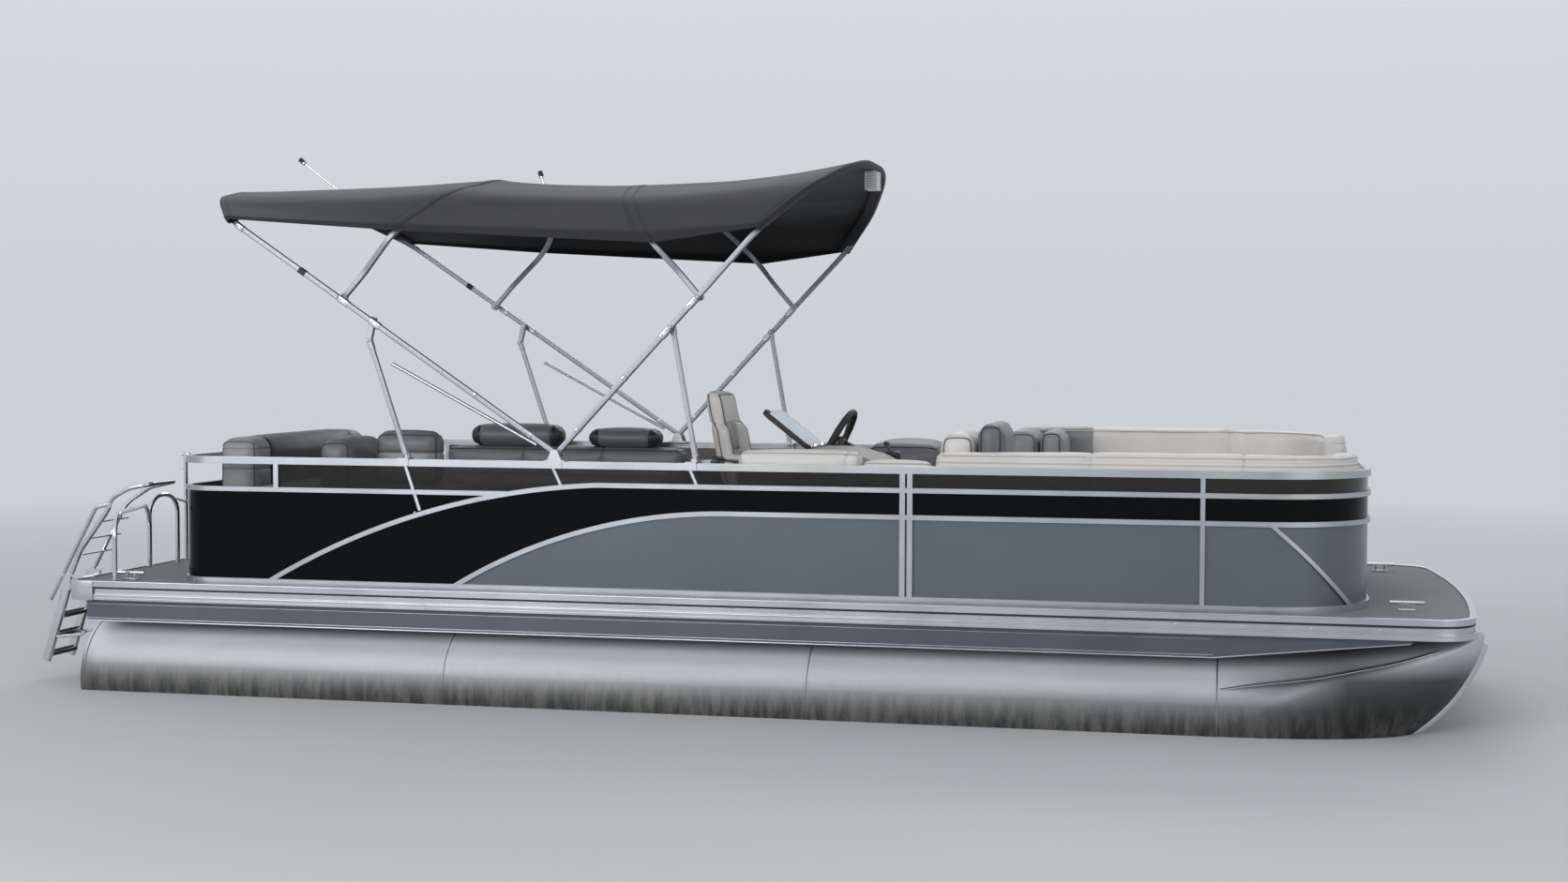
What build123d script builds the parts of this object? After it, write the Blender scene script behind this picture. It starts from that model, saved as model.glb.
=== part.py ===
from build123d import *
from math import atan2, cos, degrees, hypot, radians, sin
import os

# Pontoon boat with two tubes, a railed deck, lounges, a helm and a folding canopy.
# Millimetres. +X is the bow, +Y is port, +Z is up. The origin is under the middle of
# the whole boat, on the floor that its keel bars stand on.
# Tables and heights below are measured from the stern edge of the deck (x), from the
# centre line (y) and from the top of the deck (z).

os.makedirs("parts", exist_ok=True)

# Hull
beam = 2590.0
deck_length = 7170.0
deck_crown = 80.0
deck_corner_r = 200.0
deck_stern_r = 90.0
deck_thickness = 40.0
cross_height = 100.0
riser_height = 76.0
tube_diameter = 635.0
tube_inset = 365.0
tube_stern_x = 40.0
nose_seam_x = 6010.0
keel_height = 15.0
keel_width = 24.0
ladder_reach = 290.0
nose_reach = 7270.0

tube_r = tube_diameter / 2
tube_y = beam / 2 - tube_inset
deck_z = keel_height + tube_diameter + riser_height + cross_height + deck_thickness
stern_x = -(nose_reach - ladder_reach) / 2
tube_z = -(deck_thickness + cross_height + riser_height + tube_r)
half_beam = beam / 2

# Rub rail and skirt
rub_width = 26.0
rub_groove = 9.0
rub_top = 5.0
rub_bottom = -95.0
rub_lip = 30.0
skirt_thickness = 5.0
skirt_inset = 45.0
skirt_bottom = -212.0
skirt_stern_x = 97.0
skirt_straight_x = deck_length - 1170.0
skirt_bow_x = deck_length - 270.0

# Cross members
cross_count = 13
cross_first_x = 230.0
cross_last_x = deck_length - 520.0
cross_width = 60.0
riser_width = 150.0
riser_length = deck_length - 1370.0
riser_stern_x = 120.0

# Fence
fence_stern_x = 600.0
fence_bow_back = 450.0
fence_inset = 95.0
fence_bow_x = deck_length - fence_bow_back
fence_y = half_beam - fence_inset
fence_bow_r = 500.0
fence_stern_r = 180.0
rail_depth = 30.0
rail_height = 34.0
fence_height = 672.0
band_height = 24.0
middle_rail = 505.0
fore_upper_rail = 556.0
fore_lower_rail = 424.0
panel_thickness = 3.0
arc_1_start_x = 1127.0
arc_2_start_x = 2156.0
arc_1_top_x = 2931.0
arc_2_top_x = 3604.0
middle_rail_end_x = 2450.0
small_post_x = 1178.0
double_post_x = 4514.0
double_post_gap = 10.0
post_width = 27.0
divider_x = fence_bow_x - 783.0
divider_width = 22.0
bow_gate_half = 330.0
stern_gate_y0 = 450.0
stern_gate_y1 = fence_y - fence_stern_r - 5.0
gate_gap = 10.0
gate_tube = 25.0

# Bimini canopy frame
pivot_x = 2710.0
pivot_z = 717.0
bow_tube = 28.0
main_bow_y = fence_y
fold_bow_y = main_bow_y - 40.0
inner_bow_y = main_bow_y - 80.0
canvas_bow_y = main_bow_y - 20.0
aft_angle = 146.1
fore_angle = 47.0
aft_reach = 2506.0
fore_reach = 2087.0
aft_leg = aft_reach * 0.862
fore_leg = fore_reach * 0.7427
aft_hinge_along = 1425.0
fore_hinge_along = 1081.0
aft_inner_angle = 48.1
fore_inner_angle = 130.7
aft_inner_reach = 866.0
fore_inner_reach = 804.0
strut_tube = 24.0
aft_strut_foot = (1980.0, 400.0)
aft_strut_top = (1682.0, 1292.0)
aft_strut_along = 1210.0
fore_strut_foot = (3424.0, 708.0)
fore_strut_along = 875.0
brace_tube = 18.0
canopy_thickness = 8.0
pin_gap = 0.3

# Seats
seat_base_height = 400.0
seat_top = 520.0
seam_gap = 0.5
wall_gap = 20.0


def at(x, y, z):
    """A point from the deck's stern edge, the centre line and the deck's top."""
    return Vector(stern_x + x, y, deck_z + z)


def around(middle, half):
    """The two values this far either side of the middle."""
    return (middle - half, middle + half)


def block(x, y, z, mode=Mode.ADD):
    """Box between the two values of each of x, y and z."""
    with Locations(at(sum(x) / 2, sum(y) / 2, sum(z) / 2)):
        Box(x[1] - x[0], abs(y[1] - y[0]), z[1] - z[0], mode=mode)


def side_plane(y):
    """Plane of the side view at this y: its x is the boat's x, its y is up."""
    return Plane(origin=at(0, y, 0), x_dir=(1, 0, 0), z_dir=(0, -1, 0))


def pipe(points, radii, diameter, mode=Mode.ADD):
    """Round tube along straight runs joined by tangent arcs."""
    with BuildLine() as route:
        if radii:
            FilletPolyline(*points, radius=radii)
        else:
            Polyline(*points)
    path = route.wire()
    with BuildSketch(Plane(origin=path @ 0, z_dir=path % 0)) as section:
        Circle(diameter / 2)
    sweep(section.sketch, path=path, mode=mode)


def rod(start, end, diameter, mode=Mode.ADD):
    """Straight round bar between two points."""
    run = Vector(*end) - Vector(*start)
    with BuildSketch(Plane(origin=start, z_dir=run)) as section:
        Circle(diameter / 2)
    extrude(section.sketch, amount=run.length, mode=mode)


def cushion(x, y, z, edge):
    """Closed pad with rounded edges."""
    with BuildPart() as pad:
        block(x, y, z)
        fillet(pad.edges(), edge)
    return pad.part


def save(builder, name):
    """Labels a finished sub-part and writes it."""
    builder.part.label = name
    export_step(builder.part, f"parts/{name}.step")


def nose_x(share):
    """x of the point this share of the way along the nose."""
    return nose_seam_x + share * (nose_reach - nose_seam_x)


# Pontoons
# share of the nose, top, shoulder, keel, half width, fullness of the side's arc
nose_sections = (
    (0.0, tube_z + tube_r, tube_z, tube_z - tube_r, tube_r, sin(radians(45))),
    (0.1825, -209.0, -430.0, -838.0, 312.0, 0.715),
    (0.3571, -196.0, -320.0, -797.0, 303.0, 0.72),
    (0.5159, -172.0, -262.0, -735.0, 282.0, 0.715),
    (0.6667, -140.0, -222.0, -645.0, 252.0, 0.70),
    (0.7778, -121.0, -182.0, -545.0, 210.0, 0.68),
    (0.8730, -106.0, -150.0, -420.0, 160.0, 0.66),
    (0.9365, -98.0, -124.0, -290.0, 105.0, 0.64),
    (0.9802, -92.0, -104.0, -160.0, 42.0, 0.62),
)
# x, distance from the tube's middle plane, z
strake_route = (
    (nose_x(0.0159), 262.0, -365.0),
    (nose_x(0.3571), 300.0, -292.0),
    (nose_x(0.6667), 250.0, -210.0),
    (nose_x(0.8095), 192.0, -163.0),
)
strake_width = 34.0
strake_thickness = 9.0
# Keel bar in the side view: x, z
keel_stern_x = 300.0
keel_bottom = tube_z - tube_r - keel_height
keel_rake = ((nose_seam_x, keel_bottom), (nose_x(0.3635), -814.0), (nose_x(0.6794), -654.0))
keel_tip = ((nose_x(0.6794), -654.0), (nose_x(0.8857), -432.0), (nose_reach, -150.0))
keel_back = (
    (nose_reach, -96.0),
    (nose_x(0.9444), -112.0),
    (nose_x(0.7063), -300.0),
    (nose_seam_x, tube_z),
    (keel_stern_x, tube_z),
    (keel_stern_x, keel_bottom),
)


def strake(y, side):
    """Fin along the nose: its band in the side view, cut to its outline in plan."""
    with BuildPart() as fin:
        with BuildSketch(side_plane(y)):
            upper = [(x, z + strake_thickness / 2) for x, out, z in strake_route]
            lower = [(x, z - strake_thickness / 2) for x, out, z in reversed(strake_route)]
            with BuildLine():
                Polyline(*upper, *lower, close=True)
            make_face()
        extrude(amount=tube_r + strake_width, both=True)
        with BuildSketch(Plane(origin=at(0, y, -deck_thickness))):
            outer = [(x, side * (out + strake_width)) for x, out, z in strake_route]
            inner = [(x, side * (out - strake_width)) for x, out, z in reversed(strake_route)]
            with BuildLine():
                Polyline(*outer, *inner, close=True)
            make_face()
        extrude(amount=-tube_diameter, mode=Mode.INTERSECT)
    return fin.part


def pontoon(side):
    """One tube with its nose, keel bar, strake and riser; side is -1 at starboard."""
    y = side * tube_y
    with BuildPart() as hull:
        with BuildSketch(Plane(origin=at(tube_stern_x, y, tube_z), z_dir=(1, 0, 0))):
            Circle(tube_r)
        extrude(amount=nose_seam_x - tube_stern_x)
        fillet(hull.faces().sort_by(Axis.X)[0].edges(), 30)
        block(
            (riser_stern_x, riser_stern_x + riser_length),
            (y - riser_width / 2, y + riser_width / 2),
            (tube_z + 0.6 * tube_r, -deck_thickness - cross_height),
        )
        for share, top, shoulder, keel, half, full in nose_sections:
            with BuildSketch(Plane(origin=at(nose_x(share), y, 0), x_dir=(0, 1, 0), z_dir=(1, 0, 0))):
                side_z = shoulder + (keel - shoulder) * full
                with BuildLine():
                    ThreePointArc((half, shoulder), (0, top), (-half, shoulder))
                    ThreePointArc((-half, shoulder), (-half * full, side_z), (0, keel))
                    ThreePointArc((0, keel), (half * full, side_z), (half, shoulder))
                make_face()
        loft(ruled=True)
        with BuildSketch(side_plane(y - keel_width / 2)) as bar:
            with BuildLine():
                rake = ThreePointArc(*keel_rake)
                tip = ThreePointArc(*keel_tip)
                Polyline(tip @ 1, *keel_back, rake @ 0)
            make_face()
        extrude(bar.sketch, amount=-keel_width)
        add(strake(y, side))
    return hull


pontoon_starboard = pontoon(-1)
save(pontoon_starboard, "pontoon_starboard")
with BuildPart() as pontoon_port:
    add(mirror(pontoon_starboard.part, about=Plane.XZ, mode=Mode.PRIVATE))
save(pontoon_port, "pontoon_port")

# Deck frame
cross_y = half_beam - skirt_inset - skirt_thickness
cross_step = (cross_last_x - cross_first_x) / (cross_count - 1)
with BuildPart() as cross_members:
    for index in range(cross_count):
        x = cross_first_x + index * cross_step
        block(
            (x - cross_width / 2, x + cross_width / 2),
            (-cross_y, cross_y),
            (-deck_thickness - cross_height, -deck_thickness),
        )
save(cross_members, "cross_members")


def deck_plan(inset):
    """Plan of the deck: square stern, rounded corners and a bowed front edge."""
    half = half_beam - inset
    front = deck_length - inset
    with BuildSketch(Plane.XY) as plan:
        with BuildLine():
            bow = ThreePointArc((front, -half), (front + deck_crown, 0), (front, half))
            Polyline(bow @ 1, (inset, half), (inset, -half), bow @ 0)
        make_face()
        corners = plan.vertices().group_by(Axis.X)
        fillet(corners[0], deck_stern_r - inset)
        corners = plan.vertices().group_by(Axis.X)
        fillet(corners[-1], deck_corner_r - inset)
    return plan.sketch


with BuildPart(Plane(origin=at(0, 0, -deck_thickness))) as deck:
    add(deck_plan(rub_width))
    extrude(amount=deck_thickness)
save(deck, "deck")

# outer bands of the rail: bottom, top, stand-back
rub_bands = (
    (rub_top - rub_lip, rub_top, 0.0),
    (rub_bottom + rub_lip, rub_top - rub_lip, rub_groove),
    (rub_bottom, rub_bottom + rub_lip, 2.0),
)
with BuildPart() as rub_rail:
    for low, high, back in rub_bands:
        with BuildSketch(Plane(origin=at(0, 0, low))):
            add(deck_plan(back))
            add(deck_plan(rub_width), mode=Mode.SUBTRACT)
        extrude(amount=high - low)
save(rub_rail, "rub_rail")

with BuildPart() as skirts:
    for side in (-1, 1):
        with BuildSketch(side_plane(side * (half_beam - skirt_inset - skirt_thickness / 2))):
            with BuildLine():
                Polyline(
                    (skirt_stern_x, -deck_thickness),
                    (skirt_stern_x, skirt_bottom),
                    (skirt_straight_x, skirt_bottom),
                    (skirt_bow_x, rub_bottom - 20),
                    (skirt_bow_x, -deck_thickness),
                    close=True,
                )
            make_face()
        extrude(amount=skirt_thickness / 2, both=True)
save(skirts, "skirts")

# Outboard's pod under the stern, with its transom behind the deck
pod_half = 290.0
pod_top = -deck_thickness - cross_height
transom_stern_x = -60.0
transom_bow_x = -8.0
transom_top = -8.0
pod_view = (
    (transom_stern_x, transom_top),
    (transom_stern_x, -660.0),
    (530.0, -630.0),
    (935.0, -260.0),
    (935.0, pod_top),
    (transom_bow_x, pod_top),
    (transom_bow_x, transom_top),
)
# Engine bolts: half spacing, z
engine_bolt_r = 6.5
engine_bolt_depth = 80.0
engine_bolts = ((163.5, -60.0), (125.5, -263.0))
with BuildPart() as motor_pod:
    with BuildSketch(side_plane(pod_half)):
        with BuildLine():
            Polyline(*pod_view, close=True)
        make_face()
    extrude(amount=2 * pod_half)
    for half, z in engine_bolts:
        for y in (-half, half):
            rod(
                at(transom_stern_x - 1, y, z),
                at(transom_stern_x + engine_bolt_depth, y, z),
                2 * engine_bolt_r,
                mode=Mode.SUBTRACT,
            )
save(motor_pod, "motor_pod")

# Cleats: x, y
bow_cleat_x = deck_length - 275.0
cleat_places = (
    (bow_cleat_x, -tube_y),
    (bow_cleat_x, tube_y),
    (300.0, half_beam - 165.0),
    (300.0, -half_beam + 145.0),
)
cleat_length = 160.0
with BuildPart() as cleats:
    for x, y in cleat_places:
        block(around(x, 40), around(y, 20), (0, 8))
        for leg in (-24, 24):
            rod(at(x + leg, y, 6), at(x + leg, y, 36), 14)
        rod(at(x - cleat_length / 2, y, 40), at(x + cleat_length / 2, y, 40), 17)
save(cleats, "cleats")

# Fence. Trim lines in the side view: x, share of the rise
arc_1_mid = (1977.0, 0.683)
arc_2_mid = (2760.0, 0.66)
bow_brace = (
    (fence_bow_x - 470.0, fore_lower_rail),
    (fence_bow_x - 280.0, 250.0),
    (fence_bow_x - 80.0, rail_height / 2),
)
fence_end_x = fence_bow_x + 100
fence_start_x = fence_stern_x - 100
gate_reach = 100.0


def fence_plan(inset):
    """Plan of the fence, moved inward from its rails' middle by inset."""
    x0 = stern_x + fence_stern_x + inset
    x1 = stern_x + fence_bow_x - inset
    y = fence_y - inset
    bow_r = fence_bow_r - inset
    stern_r = max(fence_stern_r - inset, 12)
    with BuildSketch(Plane.XY) as plan:
        with BuildLine():
            FilletPolyline(
                (x1, -y),
                (x1, y),
                (x0, y),
                (x0, -y),
                radius=[bow_r, bow_r, stern_r, stern_r],
                close=True,
            )
        make_face()
    return plan.sketch


def fence_ring(thickness, shift=0.0):
    """Closed band in plan, this thick, moved inward from the rails' middle by shift."""
    with BuildSketch(Plane.XY) as ring:
        add(fence_plan(shift - thickness / 2))
        add(fence_plan(shift + thickness / 2), mode=Mode.SUBTRACT)
    return ring.sketch


def trim_arc(start_x, mid, end_x, top):
    """Trim line from the bottom rail up to a level rail, on to the bow."""
    rise = top - rail_height
    low = (stern_x + start_x, deck_z + rail_height / 2)
    middle = (stern_x + mid[0], deck_z + rail_height + rise * mid[1])
    high = (stern_x + end_x, deck_z + top)
    with BuildLine() as line:
        first = ThreePointArc(low, middle, high)
        Line(first @ 1, (stern_x + fence_end_x, deck_z + top))
    return line.line


def below_arc(line, start_x, top):
    """Everything under a trim line, in the side view."""
    far = stern_x + fence_end_x
    near = stern_x + start_x
    with BuildSketch(Plane.XZ) as view:
        with BuildLine():
            add(line)
            Polyline((far, deck_z + top), (far, deck_z), (near, deck_z), (near, deck_z + rail_height / 2))
        make_face()
    return view.sketch


def wall_box(x, z):
    """Rectangle in the fence's side view."""
    with Locations((stern_x + sum(x) / 2, deck_z + sum(z) / 2)):
        Rectangle(x[1] - x[0], z[1] - z[0])


arc_1 = trim_arc(arc_1_start_x, arc_1_mid, arc_1_top_x, fore_upper_rail)
arc_2 = trim_arc(arc_2_start_x, arc_2_mid, arc_2_top_x, fore_lower_rail)
whole = (fence_start_x, fence_end_x)
with BuildSketch(Plane.XZ) as frame_view:
    wall_box(whole, (0, rail_height))
    wall_box(whole, (fence_height - rail_height, fence_height))
    wall_box((fence_start_x, middle_rail_end_x), around(middle_rail, band_height / 2))
    trace(arc_1, band_height)
    trace(arc_2, band_height)
    wall_box(around(small_post_x, post_width / 2), (middle_rail, fence_height))
    for step in (-1, 1):
        middle = double_post_x + step * (post_width + double_post_gap) / 2
        wall_box(around(middle, post_width / 2), (0, fence_height))
    wall_box(around(divider_x, divider_width / 2), (0, fence_height))
    with BuildLine():
        ThreePointArc(*[(stern_x + x, deck_z + z) for x, z in bow_brace])
    trace(line_width=band_height * 0.75)

under_arc_1 = below_arc(arc_1, arc_1_start_x, fore_upper_rail)
under_arc_2 = below_arc(arc_2, arc_2_start_x, fore_lower_rail)

with BuildSketch(Plane.XZ) as grey_view:
    add(under_arc_2)
    add(frame_view.sketch, mode=Mode.SUBTRACT)

with BuildSketch(Plane.XZ) as black_view:
    wall_box((fence_start_x, middle_rail_end_x), (0, middle_rail))
    add(under_arc_1)
    add(under_arc_2, mode=Mode.SUBTRACT)
    add(frame_view.sketch, mode=Mode.SUBTRACT)

with BuildSketch(Plane.XZ) as smoked_view:
    wall_box((small_post_x, fence_end_x), (middle_rail, fence_height))
    add(under_arc_1, mode=Mode.SUBTRACT)
    add(frame_view.sketch, mode=Mode.SUBTRACT)


def fence_half(view, thickness):
    """Starboard half of the fence: its side view carried round its plan."""
    with BuildPart() as half:
        extrude(view, amount=half_beam)
        extrude(fence_ring(thickness), amount=deck_z + fence_height, mode=Mode.INTERSECT)
    return half.part


# Posts beside the gates: x of the wall, y of the post
gate_posts = (
    (fence_bow_x, -bow_gate_half - post_width / 2),
    (fence_bow_x, bow_gate_half + post_width / 2),
    (fence_stern_x, stern_gate_y0 - post_width / 2),
    (fence_stern_x, stern_gate_y1 + post_width / 2),
)
tall = (-5, fence_height + 5)


def cut_gates():
    """Openings of the bow gate and the stern gate."""
    block(around(fence_bow_x, gate_reach), (-bow_gate_half, bow_gate_half), tall, mode=Mode.SUBTRACT)
    block(around(fence_stern_x, gate_reach), (stern_gate_y0, stern_gate_y1), tall, mode=Mode.SUBTRACT)


# Gates: name, x of the wall, y of the free edge, y of the hinged edge, way inboard, middle bar
gates = (
    ("bow_gate", fence_bow_x, -bow_gate_half, bow_gate_half, -1, fore_lower_rail),
    ("stern_gate", fence_stern_x, stern_gate_y0, stern_gate_y1, 1, middle_rail),
)
gate_foot = 30.0
knuckle_r = 7.0
knuckle_stand = 9.0
knuckle_height = 34.0
knuckle_levels = (130.0, 520.0)
gate_pin = 7.0
tab_half = 3.0


def gate_axis(wall_x, hinge_y, inboard):
    """x and y of a gate's hinge line."""
    return (wall_x + inboard * (rail_depth / 2 + knuckle_stand), hinge_y - gate_gap / 2)


def post_knuckles(row):
    """Fixed knuckles, tabs and pins on a gate's post."""
    name, wall_x, free_y, hinge_y, inboard, middle = row
    x, y = gate_axis(wall_x, hinge_y, inboard)
    face = wall_x + inboard * (rail_depth / 2 - 1)
    for level in knuckle_levels:
        rod(at(x, y, level), at(x, y, level + knuckle_height), 2 * knuckle_r)
        rod(at(x, y, level), at(x, y, level + 2 * knuckle_height), gate_pin)
        block(sorted((x - inboard * tab_half, face)), (y, y + 20), (level, level + knuckle_height))


frame_half = fence_half(frame_view.sketch, rail_depth)
frame_other = mirror(frame_half, about=Plane.XZ)
for side, name, half in ((-1, "starboard", frame_half), (1, "port", frame_other)):
    with BuildPart() as frame:
        add(half)
        cut_gates()
        for x, y in gate_posts:
            if side * y > 0:
                block(around(x, rail_depth / 2), around(y, post_width / 2), (0, fence_height))
        if side > 0:
            for row in gates:
                post_knuckles(row)
    save(frame, f"fence_frame_{name}")

panel_views = ((grey_view, "grey_panels"), (black_view, "black_panels"), (smoked_view, "smoked_panels"))
for view, name in panel_views:
    half = fence_half(view.sketch, panel_thickness)
    other = mirror(half, about=Plane.XZ)
    with BuildPart() as panels:
        add(half)
        add(other)
        cut_gates()
        for x, y in gate_posts:
            block(around(x, rail_depth / 2), around(y, post_width / 2), tall, mode=Mode.SUBTRACT)
    save(panels, name)

for name, wall_x, free_y, hinge_y, inboard, middle in gates:
    low_y = free_y + gate_gap
    high_y = hinge_y - gate_gap
    half = gate_tube / 2
    inner_y = (low_y + gate_tube, high_y - gate_tube)
    x, y = gate_axis(wall_x, hinge_y, inboard)
    with BuildPart() as leaf:
        block(around(wall_x, half), (low_y, high_y), (gate_foot, fence_height))
        block(
            around(wall_x, half),
            inner_y,
            (gate_foot + gate_tube, fence_height - gate_tube),
            mode=Mode.SUBTRACT,
        )
        block(around(wall_x, half), (low_y, high_y), around(middle, half))
        face = wall_x + inboard * (half - 1)
        for level in knuckle_levels:
            low = level + knuckle_height + pin_gap
            high = low + knuckle_height
            rod(at(x, y, low), at(x, y, high), 2 * knuckle_r)
            block(sorted((x - inboard * tab_half, face)), (y - 20, y), (low, high))
            rod(at(x, y, low - 1), at(x, y, high + 1), gate_pin + 2 * pin_gap, mode=Mode.SUBTRACT)
    save(leaf, f"{name}_frame")
    with BuildPart() as sheet:
        block(around(wall_x, panel_thickness / 2), inner_y, (gate_foot + gate_tube, middle - half))
    save(sheet, f"{name}_panel")

# Bimini


def bow_route(origin, angle, profile):
    """The whole bow, from its starboard foot to its port foot."""
    x0, z0 = origin
    run = (cos(radians(angle)), sin(radians(angle)))
    near = [at(x0 + along * run[0], -y, z0 + along * run[1]) for along, y in profile]
    far = [at(x0 + along * run[0], y, z0 + along * run[1]) for along, y in reversed(profile)]
    return near + far


def along(origin, angle, distance):
    """x and z of the point this far along a line in the side view."""
    return (origin[0] + distance * cos(radians(angle)), origin[1] + distance * sin(radians(angle)))


pivot = (pivot_x, pivot_z)
aft_hinge = along(pivot, aft_angle, aft_hinge_along)
fore_hinge = along(pivot, fore_angle, fore_hinge_along)
# Half profiles in each bow's own plane: distance along its legs, and y
aft_profile = (
    (0.0, main_bow_y),
    (aft_leg, main_bow_y),
    (aft_reach * 0.946, main_bow_y * 0.775),
    (aft_reach, main_bow_y * 0.35),
)
fore_profile = (
    (0.0, fold_bow_y),
    (fore_leg * 0.75, fold_bow_y),
    (fore_leg, canvas_bow_y),
    (fore_reach * 0.872, canvas_bow_y * 0.81),
    (fore_reach, canvas_bow_y * 0.36),
)
aft_inner_profile = (
    (0.0, inner_bow_y),
    (aft_inner_reach * 0.2, inner_bow_y),
    (aft_inner_reach * 0.55, canvas_bow_y),
    (aft_inner_reach * 0.84, canvas_bow_y * 0.77),
    (aft_inner_reach, canvas_bow_y * 0.35),
)
fore_inner_profile = (
    (0.0, inner_bow_y),
    (fore_inner_reach * 0.2, inner_bow_y),
    (fore_inner_reach * 0.5, canvas_bow_y),
    (fore_inner_reach * 0.82, canvas_bow_y * 0.77),
    (fore_inner_reach, canvas_bow_y * 0.35),
)
# name, foot, angle, profile, radii of its bends from the leg to the crown
bows = (
    ("aft_main_bow", pivot, aft_angle, aft_profile, (280, 600, 1300)),
    ("fore_main_bow", pivot, fore_angle, fore_profile, (900, 280, 600, 1300)),
    ("aft_inner_bow", aft_hinge, aft_inner_angle, aft_inner_profile, (300, 200, 450, 900)),
    ("fore_inner_bow", fore_hinge, fore_inner_angle, fore_inner_profile, (300, 180, 450, 900)),
)
pin_diameter = 10.0
pin_proud = 8.0
hinge_lug = 44.0
hinge_half = bow_tube / 2 + 2
pin_bore = pin_diameter + 2 * pin_gap
strut_pin = along(pivot, fore_angle, fore_strut_along)
# bow that carries each pin, where, the outer and inner y of the pin
bow_pins = (
    ("aft_main_bow", aft_hinge, main_bow_y),
    ("fore_main_bow", fore_hinge, fold_bow_y),
    ("fore_main_bow", strut_pin, fold_bow_y),
)
for name, foot, angle, profile, radii in bows:
    with BuildPart() as bow:
        pipe(bow_route(foot, angle, profile), list(radii) + list(reversed(radii)), bow_tube)
        for side in (-1, 1):
            y = side * profile[0][1]
            rod(at(foot[0], y - hinge_half, foot[1]), at(foot[0], y + hinge_half, foot[1]), hinge_lug)
            rod(
                at(foot[0], y - 2 * hinge_half, foot[1]),
                at(foot[0], y + 2 * hinge_half, foot[1]),
                pin_bore,
                mode=Mode.SUBTRACT,
            )
            for carrier, place, outer in bow_pins:
                if carrier == name:
                    rod(
                        at(place[0], side * (outer + bow_tube / 2 + pin_proud), place[1]),
                        at(place[0], side * (inner_bow_y - hinge_half - pin_proud), place[1]),
                        pin_diameter,
                    )
    save(bow, name)

strut_y = inner_bow_y
aft_strut_y = fold_bow_y - 6
aft_strut_pin = along(pivot, aft_angle, aft_strut_along)
with BuildPart() as aft_struts:
    for side in (-1, 1):
        y = side * aft_strut_y
        foot, top, joint = [at(x, y, z) for x, z in (aft_strut_foot, aft_strut_top, aft_strut_pin)]
        rod(foot, top, strut_tube)
        rod(top, joint, strut_tube)
        rod(joint, at(aft_strut_pin[0], side * (main_bow_y - bow_tube / 2), aft_strut_pin[1]), strut_tube)
save(aft_struts, "aft_struts")

with BuildPart() as fore_struts:
    for side in (-1, 1):
        y = side * strut_y
        rod(at(fore_strut_foot[0], y, fore_strut_foot[1]), at(strut_pin[0], y, strut_pin[1]), strut_tube)
        rod(
            at(strut_pin[0], y - hinge_half, strut_pin[1]),
            at(strut_pin[0], y + hinge_half, strut_pin[1]),
            hinge_lug * 0.8,
        )
        rod(
            at(strut_pin[0], y - 2 * hinge_half, strut_pin[1]),
            at(strut_pin[0], y + 2 * hinge_half, strut_pin[1]),
            pin_bore,
            mode=Mode.SUBTRACT,
        )
save(fore_struts, "fore_struts")

# Mounts on the top rail: the main pivot's saddle and pin, and the struts' saddles
saddle_plate = 8.0
saddle_half = 55.0
saddle_skirt = 4.0
strut_saddle_half = 30.0
ear_thickness = 5.0
ear_outer_y = main_bow_y + hinge_half + pin_gap + ear_thickness / 2
ear_inner_y = fold_bow_y - hinge_half - pin_gap - ear_thickness / 2
ear_view = ((-40.0, fence_height), (40.0, fence_height), (16.0, pivot_z + 14), (-16.0, pivot_z + 14))
strut_foot_gap = 3.0
strut_run = (aft_strut_top[0] - aft_strut_foot[0], aft_strut_top[1] - aft_strut_foot[1])
aft_strut_rail_x = aft_strut_foot[0] + strut_run[0] * (fence_height - aft_strut_foot[1]) / strut_run[1]
plate_z = (fence_height, fence_height + saddle_plate)
skirt_z = (fence_height - rail_height, fence_height + saddle_plate)
stub_y = fence_y - rail_depth / 2 - strut_tube / 2 - 3
stub_foot = (fore_strut_foot[0] + 28, fore_upper_rail + 8)
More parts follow.
